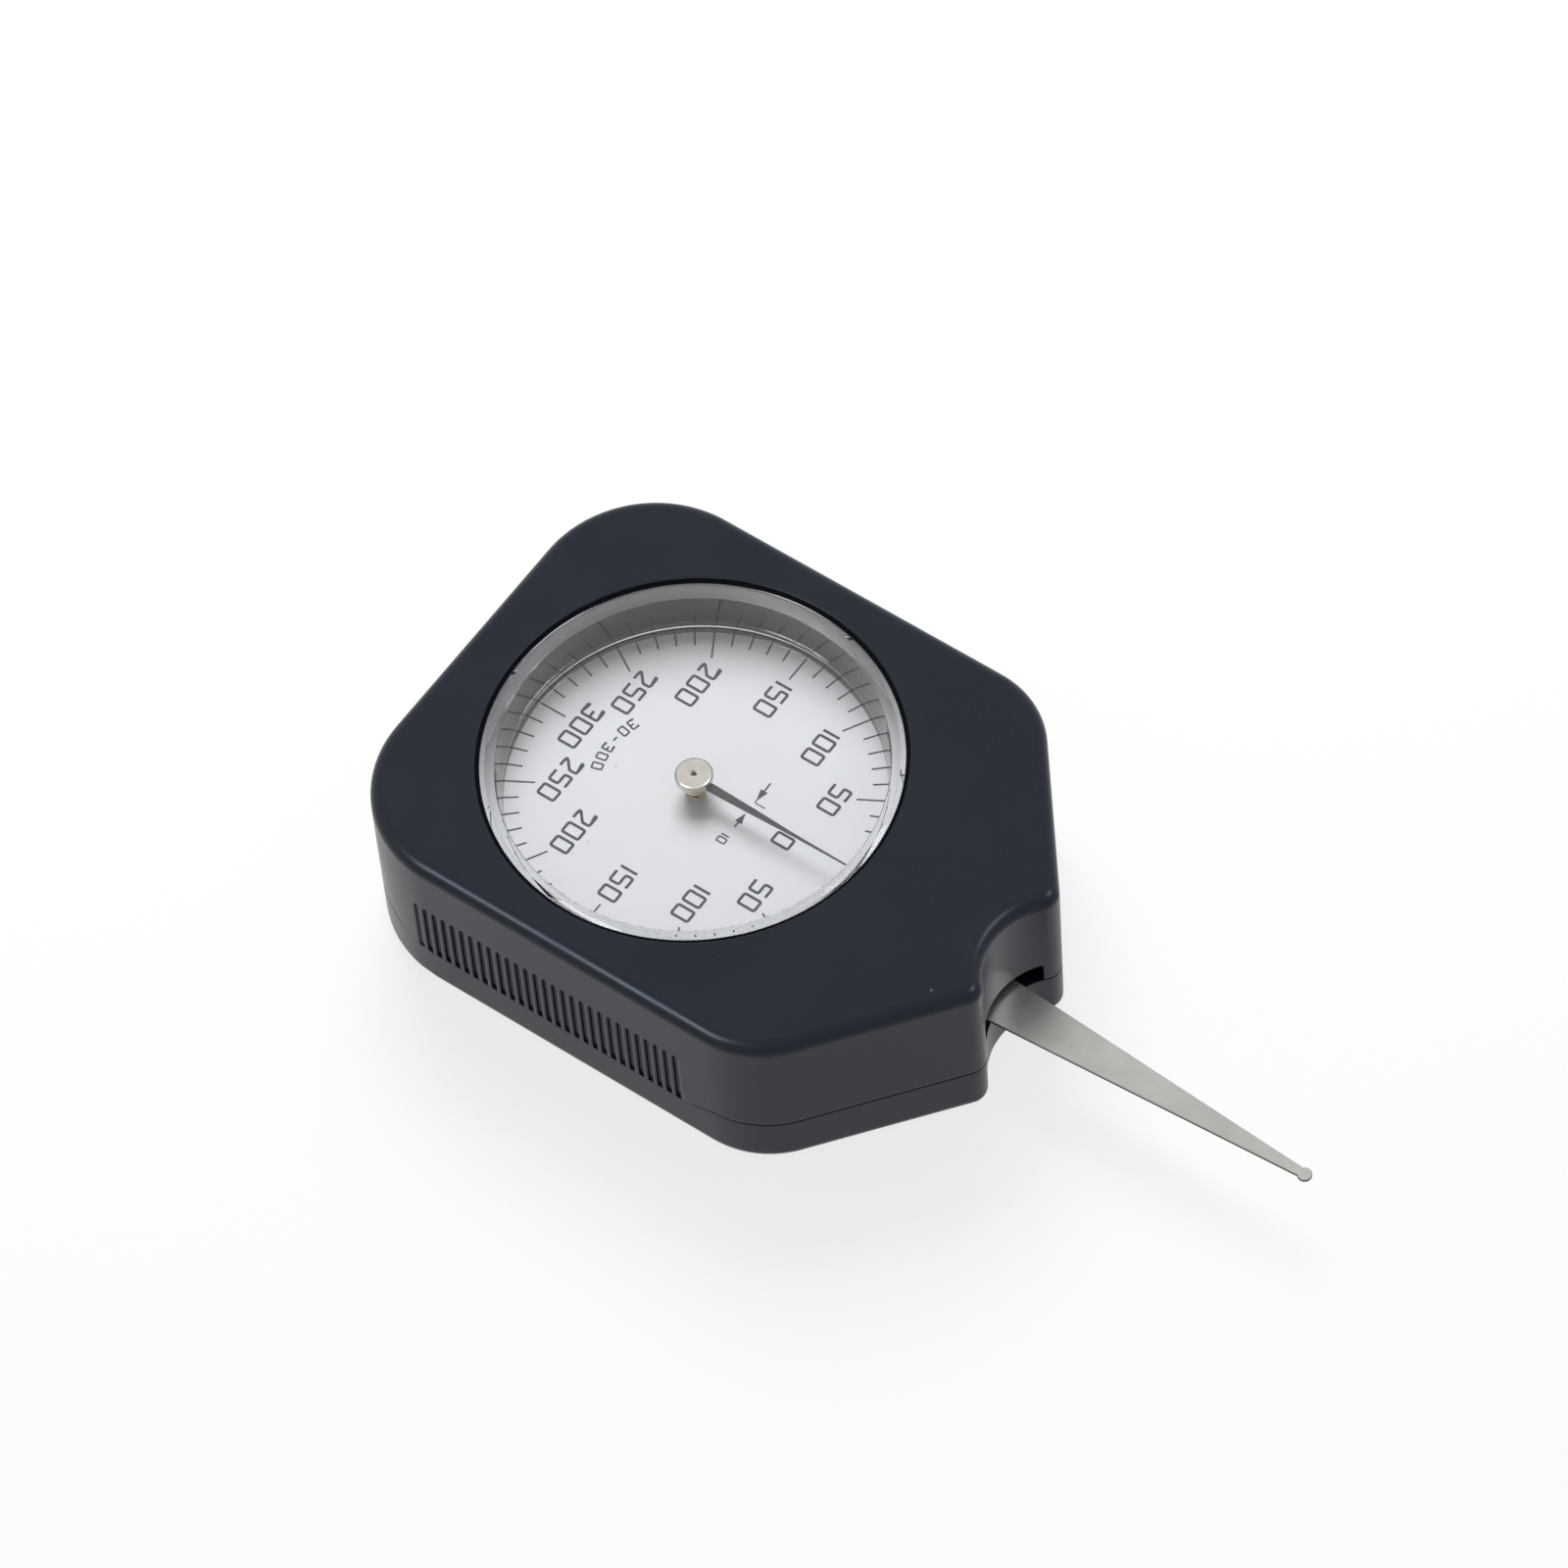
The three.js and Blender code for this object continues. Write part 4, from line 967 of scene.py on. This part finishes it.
def flat_blade(outline, low, high, edge, holes=()):
    """A flat blade with softened edges. The outline and holes are lists of points."""
    bm = bmesh.new()
    levels = [(edge, low), (0, low + edge), (0, high - edge), (edge, high)]
    caps = [[], []]
    for points, sign in [(outline, 1), *((hole, -1) for hole in holes)]:
        total = len(points)
        outs = []
        for i in range(total):
            ahead = (points[(i + 1) % total] - points[i - 1]).normalized()
            outs.append(Vector((ahead.y, -ahead.x)) * sign)
        rows = [
            [bm.verts.new((*(p - o * draw), level)) for p, o in zip(points, outs)]
            for draw, level in levels
        ]
        bridge(bm, rows)
        caps[0].append(rows[0])
        caps[1].append(rows[-1])
    for cap in caps:
        fill_face(bm, cap)
    return mesh_of(bm, "blade", 30)


def pointer_mesh(sizes):
    reach, tip, eye = POINTER_HIGH.x, sizes.pointer_tip, sizes.pointer_eye
    bore, edge, bend = 1.0 * MM, 0.03 * MM, 30 * MM
    meet = math.asin(sizes.pointer_root / eye)
    round_eye = [p for p, _ in arc((0, 0), eye, meet, TURN - meet, 40)]
    upper = rounded([
        Vector((eye, sizes.pointer_root)),
        Vector((sizes.middle_share * reach, sizes.pointer_middle)),
        Vector((sizes.neck_share * reach, sizes.pointer_neck)),
        Vector((reach - tip, tip)),
    ], bend, 8)
    end = [p for p, _ in arc((reach - tip, 0), tip, -math.pi / 2, math.pi / 2, 6)][1:-1]
    outline = round_eye + mirrored(upper)[1:] + end + upper[::-1][:-1]
    hole = circle((0, 0), bore, 32)
    return flat_blade(outline, POINTER_LOW.z, POINTER_HIGH.z, edge, [hole])


def cap_mesh(sizes):
    low, top, under = CAP_LOW.z, CAP_HIGH.z, POINTER_HIGH.z
    radius, edge, bore = CAP_HIGH.x + sizes.cap_grow, sizes.cap_edge, sizes.cap_bore
    hub, soft, chamfer = 0.9 * MM, 0.12 * MM, 0.08 * MM
    profile = [(hub, low), (hub, under), (radius - soft, under), (radius, under + soft)]
    profile += [(radius - edge * (1 - c), top - edge * (1 - s)) for s, c in quarter(8)]
    profile += [(bore + chamfer, top), (bore, top - chamfer), (bore, low)]
    return lathe(profile, TURNED_STEPS)


def arbor_mesh(sizes):
    """The pointer's stepped arbor, with a deep centre hole in its upper end."""
    low, top = ARBOR_LOW.z, ARBOR_HIGH.z
    floor = top - sizes.centre_depth
    thin, thick, hole = sizes.arbor_end, sizes.arbor_body, sizes.centre_hole
    profile = [
        (0, low), (thin, low), (thin, sizes.arbor_lower), (thick, sizes.arbor_lower),
        (thick, sizes.arbor_upper), (thin, sizes.arbor_upper), (thin, top), (hole, top),
        (hole, floor), (0, floor - hole),
    ]
    return lathe(profile, SCREW_STEPS)


def collar_mesh():
    low, top, radius = COLLAR_LOW.z, COLLAR_HIGH.z, COLLAR_HIGH.x
    bore, soft, ring = 0.55 * MM, 0.1 * MM, 0.35 * MM
    return lathe([
        (bore, low), (radius - soft, low), (radius, low + soft), (radius, low + ring),
        (radius - soft, low + ring + soft), (radius - soft, top - soft),
        (radius - 2 * soft, top), (bore, top),
    ], TURNED_STEPS)


def feeler_mesh(sizes):
    root, neck, contact = sizes.blade_root, sizes.blade_neck, sizes.contact
    screw_bore = 0.5 * MM
    reach = BLADE_HIGH.x - PIVOT.x - contact
    taper = math.asin((root - neck) / reach)
    start, end = math.pi / 2 - taper, 1.5 * math.pi + taper
    root_end = [p for p, _ in arc((PIVOT.x, 0), root, start, end, 48)]
    meet = math.pi - math.asin(neck / contact)
    tip_x = PIVOT.x + reach
    tip = [p for p, _ in arc((tip_x, 0), contact, -meet, meet, 28)]
    neck_end = Vector((tip_x - math.sqrt(contact ** 2 - neck ** 2), -neck))
    lower = [root_end[-1].lerp(neck_end, i / 20) for i in range(1, 20)]
    outline = root_end + lower + tip + mirrored(reversed(lower))
    holes = [circle((PIVOT.x, 0), sizes.blade_bore, 32)]
    for name in ("arm_screw_1", "arm_screw_2"):
        holes.append(circle(middle_of(name).xy, screw_bore, 20))
    return flat_blade(outline, BLADE_LOW.z, BLADE_HIGH.z, sizes.blade_edge, holes)


# Materials

class Finish(Nodes):
    """A material whose pattern follows the piece's own coordinates, in millimetres."""

    def __init__(self, name, colour, metallic=0.0):
        self.material = bpy.data.materials.new(name)
        self.material.use_nodes = True
        super().__init__(self.material.node_tree)
        self.colour = tuple(colour)
        self.shader = self.node("ShaderNodeBsdfPrincipled", {"Metallic": metallic})
        self.look = Link(self, self.shader.outputs[0])
        self.end = self.node("ShaderNodeOutputMaterial", {"Surface": self.look})
        self.place = self.out("ShaderNodeTexCoord", socket="Object")

    def set(self, values):
        for socket, value in values.items():
            self.feed(self.shader.inputs[socket], value)

    def surface(self, colour, roughness, height, strength, depth):
        """Puts on colour, roughness and a bump of that depth in millimetres."""
        bump = {"Height": height, "Strength": strength, "Distance": depth * MM}
        normal = self.out("ShaderNodeBump", bump)
        self.set({"Base Color": colour, "Roughness": roughness, "Normal": normal})
        return self.material

    def stretched(self, scale, turn=0.0):
        """Coordinates per millimetre, stretched along the axes."""
        return self.out("ShaderNodeMapping", {
            "Vector": self.place, "Rotation": (0, 0, turn), "Scale": tuple(s / MM for s in scale),
        })

    def noise(self, scale, detail=2.0, rough=0.5, where=None):
        """Noise with that many features per millimetre, or per unit of the coordinates given."""
        if where is None:
            where, scale = self.place, scale / MM
        return self.out("ShaderNodeTexNoise", {
            "Vector": where, "Scale": scale, "Detail": detail, "Roughness": rough,
        }, "Fac")

    def ramp(self, value, low, high, start=0.0, end=1.0):
        return self.out("ShaderNodeMapRange", {
            "Value": value, "From Min": low, "From Max": high, "To Min": start, "To Max": end,
        })

    def mix(self, amount, *colours):
        """A mix of two colours: each a link, a colour or a factor on the finish's own colour."""
        inputs = {"Factor": amount}
        for key, colour in zip((6, 7), colours):
            if isinstance(colour, float):
                colour = [min(c * colour, 1.0) for c in self.colour]
            inputs[key] = colour if isinstance(colour, Link) else (*colour, 1)
        return self.out("ShaderNodeMix", inputs, 2, data_type="RGBA")

    def specks(self, cells, radius, share):
        """1 on a few small round specks. Cells is the number of cells per millimetre."""
        inputs = {"Vector": self.place, "Scale": cells / MM}
        distance, tone = self.outs("ShaderNodeTexVoronoi", ("Distance", "Color"), inputs)
        red = self.out("ShaderNodeSeparateColor", {"Color": tone})
        near = self.math("LESS_THAN", distance, radius)
        return near * self.math("LESS_THAN", red, share)


def moulded_plastic(looks):
    """Bluish black plastic with a fine eroded grain, faint smudges and a little dust."""
    f = Finish("moulded_plastic", looks.plastic)
    grain = f.noise(5.0, 3.0, 0.6)
    cloud = f.noise(0.07, 3.0, 0.55)
    dust = f.specks(0.22, 0.035, 0.3) * 0.3
    tint = f.mix(f.ramp(cloud, 0.35, 0.7), 0.9, 1.12)
    sheen = f.ramp(cloud, 0.3, 0.75, 0.27, 0.34) + f.ramp(grain, 0.2, 0.8, -0.03, 0.03)
    f.set({"Specular IOR Level": 0.28, "Specular Tint": (0.7, 0.82, 1.0, 1)})
    return f.surface(f.mix(dust, tint, looks.dust), sheen, grain, 0.25, 0.02)


def painted_shade_lip(looks):
    """The case's plastic darkened to a quarter or a third, with a coarse matt grain and little gloss. It is
    painted shade that keeps the opening's lip as black as the shadowed gap round the crystal.
    """
    f = Finish("matt_plastic", looks.plastic)
    grain = f.noise(6.0, 3.0, 0.6)
    # Painted shade: the case colour darkened to a quarter or a third of itself
    tint = f.mix(f.ramp(grain, 0.3, 0.7), 0.25, 0.35)
    f.set({"Specular IOR Level": 0.05})
    return f.surface(tint, f.ramp(grain, 0.2, 0.8, 0.7, 0.9), grain, 0.3, 0.02)


def dial_paint(looks):
    """Matte silver white paint with a fine even grain and a few dark specks."""
    f = Finish("silver_white_paint", looks.paint)
    grain = f.noise(9.0, 2.0, 0.6)
    tint = f.mix(f.ramp(f.noise(0.09), 0.3, 0.7), 0.985, 1.015)
    tint = f.mix(f.ramp(grain, 0.3, 0.7, 0.0, 0.25), tint, 0.93)
    tint = f.mix(f.specks(0.3, 0.035, 0.12) * 0.7, tint, 0.35)
    return f.surface(tint, f.ramp(grain, 0.2, 0.8, 0.42, 0.58), grain, 0.12, 0.01)


def dial_ink(looks):
    """Screen printed ink, slightly uneven in strength."""
    f = Finish("printed_ink", looks.ink)
    blot = f.noise(1.6, 3.0, 0.6)
    tint = f.mix(f.ramp(blot, 0.3, 0.75), 1.0, 1.9)
    return f.surface(tint, f.ramp(blot, 0.2, 0.8, 0.5, 0.65), blot, 0.1, 0.005)


def pointer_paint(looks):
    """Matte dark grey paint with a fine grain."""
    f = Finish("dark_pointer_paint", looks.needle)
    grain = f.noise(7.0, 2.0, 0.6)
    tint = f.mix(f.ramp(grain, 0.3, 0.7), 0.93, 1.12)
    return f.surface(tint, f.ramp(grain, 0.2, 0.8, 0.42, 0.6), grain, 0.2, 0.01)


def clear_plastic():
    """Clear acrylic with a little dust on top. Lamps reach what lies behind it."""
    f = Finish("clear_acrylic", (1, 1, 1))
    height = f.out("ShaderNodeSeparateXYZ", {"Vector": f.place}, "Z")
    on_top = f.ramp(height, CRYSTAL_HIGH.z - 0.1 * MM, CRYSTAL_HIGH.z - 0.05 * MM)
    dust = f.specks(0.26, 0.03, 0.15) * on_top
    f.set({
        "Base Color": (1, 1, 1, 1), "IOR": 1.49, "Specular Tint": (0.6, 0.62, 0.65, 1),
        "Roughness": f.ramp(dust, 0.0, 1.0, 0.0, 0.6),
        "Transmission Weight": f.ramp(dust, 0.0, 1.0, 1.0, 0.45),
    })
    shadow, diffuse = f.outs("ShaderNodeLightPath", ("Is Shadow Ray", "Is Diffuse Ray"))
    straight = f.math("MAXIMUM", shadow, diffuse)
    clear = f.out("ShaderNodeBsdfTransparent", {"Color": (0.985, 0.99, 0.99, 1)})
    both = f.out("ShaderNodeMixShader", {0: straight, 1: f.look, 2: clear})
    f.feed(f.end.inputs["Surface"], both)
    return f.material


def turned_metal(name, colour, roughness, rings, tarnish=0.8):
    """Metal turned on a lathe about Z, with fine rings and faint tarnish."""
    f = Finish(name, colour, 1.0)
    flat = {0: f.stretched((1, 1, 0))}
    radius = f.out("ShaderNodeVectorMath", flat, "Value", operation="LENGTH")
    ring = f.noise(rings, 2.0, 0.6, f.vector(X=radius))
    cloud = f.noise(0.35, 3.0, 0.6)
    sheen = f.ramp(cloud, 0.3, 0.7, roughness, roughness + 0.1)
    sheen += f.ramp(ring, 0.3, 0.7, -0.03, 0.03)
    return f.surface(f.mix(f.ramp(cloud, 0.4, 0.75), 1.0, tarnish), sheen, ring, 0.15, 0.01)


def ground_steel(looks):
    """Stainless strip with fine cross grinding, a mottled satin sheen, and steep side faces that are darker and
    rougher than the flat faces.
    """
    f = Finish("ground_steel", looks.blade, 1.0)
    scratch = f.noise(1.0, 3.0, 0.65, f.stretched((1.2, 14, 3), 0.5))
    cloud = f.noise(0.28, 4.0, 0.6)
    tint = f.mix(f.ramp(cloud, 0.35, 0.7), 1.08, 0.88)
    tint = f.mix(f.ramp(scratch, 0.35, 0.7, 0.0, 0.35), tint, 0.8)
    tint = f.mix(f.ramp(f.noise(0.09), 0.4, 0.7, 0.0, 0.5), tint, 0.85)
    normal = f.out("ShaderNodeNewGeometry", socket="Normal")
    lean = f.out("ShaderNodeSeparateXYZ", {"Vector": normal}, "Z")
    # Faces steeper than the flat of the strip get a darker colour and more roughness than its flat faces
    edge = f.math("LESS_THAN", f.math("ABSOLUTE", lean), 0.8)
    sheen = f.ramp(cloud, 0.3, 0.7, 0.29, 0.37) + f.ramp(scratch, 0.3, 0.7, -0.03, 0.04)
    return f.surface(f.mix(edge, tint, 0.26), sheen + edge * 0.3, scratch, 0.2, 0.008)


def machined_metal(name, colour, roughness, lay=(8, 0.6, 4)):
    """Machined metal with a fine directional lay, for the screws and the movement."""
    f = Finish(name, colour, 1.0)
    lines = f.noise(1.0, 3.0, 0.6, f.stretched(lay))
    cloud = f.noise(0.2, 3.0, 0.6)
    sheen = f.ramp(cloud, 0.3, 0.7, roughness, roughness + 0.12)
    sheen += f.ramp(lines, 0.3, 0.7, -0.05, 0.05)
    return f.surface(f.mix(f.ramp(cloud, 0.35, 0.75), 1.0, 0.75), sheen, lines, 0.2, 0.01)


# Operators

def case_finish(context):
    return bpy.data.materials.get("moulded_plastic") or moulded_plastic(context.scene.gauge_looks)


class GAUGE_OT_front_case(bpy.types.Operator):
    """Makes the front case with its grip ribs, nose slot and dial opening"""

    bl_idname = "gauge.front_case"
    bl_label = "Front Case"

    def execute(self, context):
        sizes = context.scene.gauge_case
        material = case_finish(context)
        mesh = rib_tree(sizes, material).bake(front_case_mesh(sizes), "front_case_skin")
        show(mesh, "front_case_skin", None, "casing", "case_plastic", "front_case")
        # The opening's lip gets painted shade: a darkened copy of the case plastic in place of the shaded gap
        # round the crystal
        matt = painted_shade_lip(context.scene.gauge_looks)
        show(painted_shade_lip_mesh(sizes), "opening_lip", matt, "casing", "case_plastic")
        return {"FINISHED"}


class GAUGE_OT_back_cover(bpy.types.Operator):
    """Makes the back cover with its four screw bores"""

    bl_idname = "gauge.back_cover"
    bl_label = "Back Cover"

    def execute(self, context):
        mesh = back_cover_mesh(context.scene.gauge_case)
        material = case_finish(context)
        show(mesh, "back_cover_skin", material, "casing", "case_plastic", "back_cover")
        return {"FINISHED"}


class GAUGE_OT_case_screws(bpy.types.Operator):
    """Makes the four case screws"""

    bl_idname = "gauge.case_screws"
    bl_label = "Case Screws"

    def execute(self, context):
        sizes = context.scene.gauge_case
        material = machined_metal("case_screw_steel", context.scene.gauge_looks.screw, 0.32)
        mesh = screw_tree(sizes, material).bake(screw_mesh(sizes), "case_screws")
        show(mesh, "case_screws", None, "casing", "screw_steel", *CASE_SCREWS)
        return {"FINISHED"}


class GAUGE_OT_crystal(bpy.types.Operator):
    """Makes the clear crystal over the dial"""

    bl_idname = "gauge.crystal"
    bl_label = "Crystal"

    def execute(self, context):
        mesh = crystal_mesh(context.scene.gauge_dial)
        show(mesh, "crystal_clear", clear_plastic(), "casing", "clear_plastic", "crystal")
        return {"FINISHED"}


class GAUGE_OT_dial_print(bpy.types.Operator):
    """Prints the divisions and numbers on the dial"""

    bl_idname = "gauge.dial_print"
    bl_label = "Dial Print"

    def execute(self, context):
        sizes = context.scene.gauge_dial
        ink = dial_ink(context.scene.gauge_looks)
        ticks = tick_tree(sizes, ink).bake(bpy.data.meshes.new("division_source"), "dial_divisions")
        show(ticks, "dial_divisions", None, "casing", "dial_paint")
        show(number_mesh(sizes), "dial_numbers", ink, "casing", "dial_paint")
        return {"FINISHED"}


class GAUGE_OT_pointer(bpy.types.Operator):
    """Makes the pointer with its cap, collar and arbor"""

    bl_idname = "gauge.pointer"
    bl_label = "Pointer"

    def execute(self, context):
        sizes, looks = context.scene.gauge_hands, context.scene.gauge_looks
        nickel = turned_metal("turned_nickel", looks.nickel, 0.2, 14.0)
        # The collar's finish carries painted shade: a darker copy of the nickel plate where it sits under the cap
        collar = turned_metal("worn_collar", looks.collar, 0.3, 9.0)
        steel = turned_metal("arbor_steel", looks.screw, 0.34, 12.0, 0.7)
        for mesh, name, finish, slot, solid in (
            (pointer_mesh(sizes), "pointer_blade", pointer_paint(looks), "pointer_paint", "pointer"),
            (cap_mesh(sizes), "pointer_cap_turned", nickel, "nickel_plate", "pointer_cap"),
            (collar_mesh(), "pointer_collar_turned", collar, "nickel_plate", "pointer_collar"),
            (arbor_mesh(sizes), "pointer_arbor_turned", steel, "screw_steel", "pointer_arbor"),
        ):
            show(mesh, name, finish, "pointer", slot, solid)
        return {"FINISHED"}


class GAUGE_OT_feeler(bpy.types.Operator):
    """Makes the feeler blade with its round contact end"""

    bl_idname = "gauge.feeler"
    bl_label = "Feeler"

    def execute(self, context):
        mesh = feeler_mesh(context.scene.gauge_hands)
        material = ground_steel(context.scene.gauge_looks)
        show(mesh, "feeler_strip", material, "feeler", "feeler_steel", "feeler_blade")
        return {"FINISHED"}


class GAUGE_OT_movement(bpy.types.Operator):
    """Gives the dial plate and the pieces of the movement their finishes"""

    bl_idname = "gauge.movement"
    bl_label = "Movement Finishes"

    def execute(self, context):
        looks = context.scene.gauge_looks
        finishes = {
            "dial_paint": dial_paint(looks),
            "brass": machined_metal("machined_brass", looks.brass, 0.3),
            "screw_steel": machined_metal("turned_steel", looks.screw, 0.3, (2, 2, 9)),
            "spring_steel": machined_metal("blued_steel", looks.spring, 0.34, (3, 3, 3)),
        }
        for part in frame["record"]["subparts"]:
            piece = frame["nodes"][part["node"]]
            finish = finishes.get(part["material_slot"])
            if piece.hide_render or finish is None:
                continue
            piece.data.materials.clear()
            piece.data.materials.append(finish)
        return {"FINISHED"}


class GAUGE_OT_stage(bpy.types.Operator):
    """Makes the floor, the lamps and the camera"""

    bl_idname = "gauge.stage"
    bl_label = "Stage"

    def execute(self, context):
        settings = context.scene.gauge_stage
        make_floor(settings)
        make_light(context.scene, settings)
        make_camera(context.scene, settings)
        return {"FINISHED"}


def make_floor(settings):
    """A plain pale floor that keeps the gauge's shadow. From below it is clear."""
    bm = bmesh.new()
    bmesh.ops.create_circle(bm, cap_ends=True, radius=settings.floor_radius, segments=96)
    mesh = bpy.data.meshes.new("floor")
    bm.to_mesh(mesh)
    bm.free()
    floor = bpy.data.objects.new("floor", mesh)
    floor.location.z = FLOOR_LEVEL
    bpy.context.scene.collection.objects.link(floor)
    material = bpy.data.materials.new("floor_white")
    material.use_nodes = True
    tree = Nodes(material.node_tree)
    seen = tree.seen()
    shown = (*[1 - settings.floor_lift] * 3, 1)
    colours = {"Factor": seen, 6: FLOOR_PAINT, 7: shown}
    colour = tree.out("ShaderNodeMix", colours, 2, data_type="RGBA")
    matte = tree.out("ShaderNodeBsdfDiffuse", {"Color": colour})
    glow = tree.out("ShaderNodeEmission", {"Strength": seen * settings.floor_lift})
    both = tree.out("ShaderNodeAddShader", {0: matte, 1: glow})
    behind = tree.out("ShaderNodeNewGeometry", socket="Backfacing")
    clear = tree.out("ShaderNodeBsdfTransparent")
    mixed = tree.out("ShaderNodeMixShader", {0: behind, 1: both, 2: clear})
    tree.node("ShaderNodeOutputMaterial", {"Surface": mixed})
    mesh.materials.append(material)


def make_light(scene, settings):
    """An even white surround, a soft lamp behind and two lamps that only give glints."""
    scene.world = bpy.data.worlds.new("surround")
    scene.world.use_nodes = True
    tree = Nodes(scene.world.node_tree)
    even, white = (
        tree.out("ShaderNodeBackground", {"Color": (1, 1, 1, 1), "Strength": strength})
        for strength in (settings.ambient, 1.0)
    )
    mixed = tree.out("ShaderNodeMixShader", {0: tree.seen(), 1: even, 2: white})
    tree.node("ShaderNodeOutputWorld", {"Surface": mixed})
    for side in ("left", "right", "rear"):
        turn, rise = getattr(settings, side + "_turn"), getattr(settings, side + "_rise")
        data = bpy.data.lights.new(side + "_lamp", "AREA")
        data.size = settings.rear_size if side == "rear" else settings.side_size
        data.energy = getattr(settings, side + "_power")
        lamp = bpy.data.objects.new(side + "_lamp", data)
        lamp.visible_glossy = lamp.visible_transmission = side != "rear"
        lamp.visible_diffuse = side == "rear"
        scene.collection.objects.link(lamp)
        flat = math.cos(rise)
        out = Vector((math.cos(turn) * flat, math.sin(turn) * flat, math.sin(rise)))
        lamp.location = out * settings.lamp_distance
        lamp.rotation_euler = out.to_track_quat("Z", "Y").to_euler()


def make_camera(scene, settings):
    data = bpy.data.cameras.new("camera")
    data.lens = settings.camera_lens
    data.sensor_width = SENSOR
    data.sensor_fit = "HORIZONTAL"
    data.clip_start, data.clip_end = 0.01, 50
    camera = bpy.data.objects.new("camera", data)
    scene.collection.objects.link(camera)
    camera.location = settings.camera_place
    camera.rotation_euler = settings.camera_turn
    scene.camera = camera
    scene.view_settings.view_transform = "Standard"


class GAUGE_PT_panel(bpy.types.Panel):
    """Lists the gauge's operators in the sidebar"""

    bl_label = "Dial Tension Gauge"
    bl_idname = "GAUGE_PT_panel"
    bl_space_type = "VIEW_3D"
    bl_region_type = "UI"
    bl_category = "Gauge"

    def draw(self, context):
        for operator in OPERATORS:
            self.layout.operator(operator.bl_idname)


OPERATORS = (
    GAUGE_OT_front_case,
    GAUGE_OT_back_cover,
    GAUGE_OT_case_screws,
    GAUGE_OT_crystal,
    GAUGE_OT_dial_print,
    GAUGE_OT_pointer,
    GAUGE_OT_feeler,
    GAUGE_OT_movement,
    GAUGE_OT_stage,
)
GROUPS = {
    "gauge_case": GaugeCaseSizes,
    "gauge_dial": GaugeDialSizes,
    "gauge_hands": GaugeHandSizes,
    "gauge_looks": GaugeFinishes,
    "gauge_stage": GaugeStageSettings,
}


def register():
    for group in GROUPS.values():
        bpy.utils.register_class(group)
    for name, group in GROUPS.items():
        setattr(bpy.types.Scene, name, PointerProperty(type=group))
    for operator in OPERATORS:
        bpy.utils.register_class(operator)
    bpy.utils.register_class(GAUGE_PT_panel)


def unregister():
    bpy.utils.unregister_class(GAUGE_PT_panel)
    for operator in reversed(OPERATORS):
        bpy.utils.unregister_class(operator)
    for name in GROUPS:
        delattr(bpy.types.Scene, name)
    for group in reversed(list(GROUPS.values())):
        bpy.utils.unregister_class(group)


def main():
    register()
    for operator in OPERATORS:
        family, name = operator.bl_idname.split(".")
        getattr(getattr(bpy.ops, family), name)()


if __name__ == "__main__":
    main()
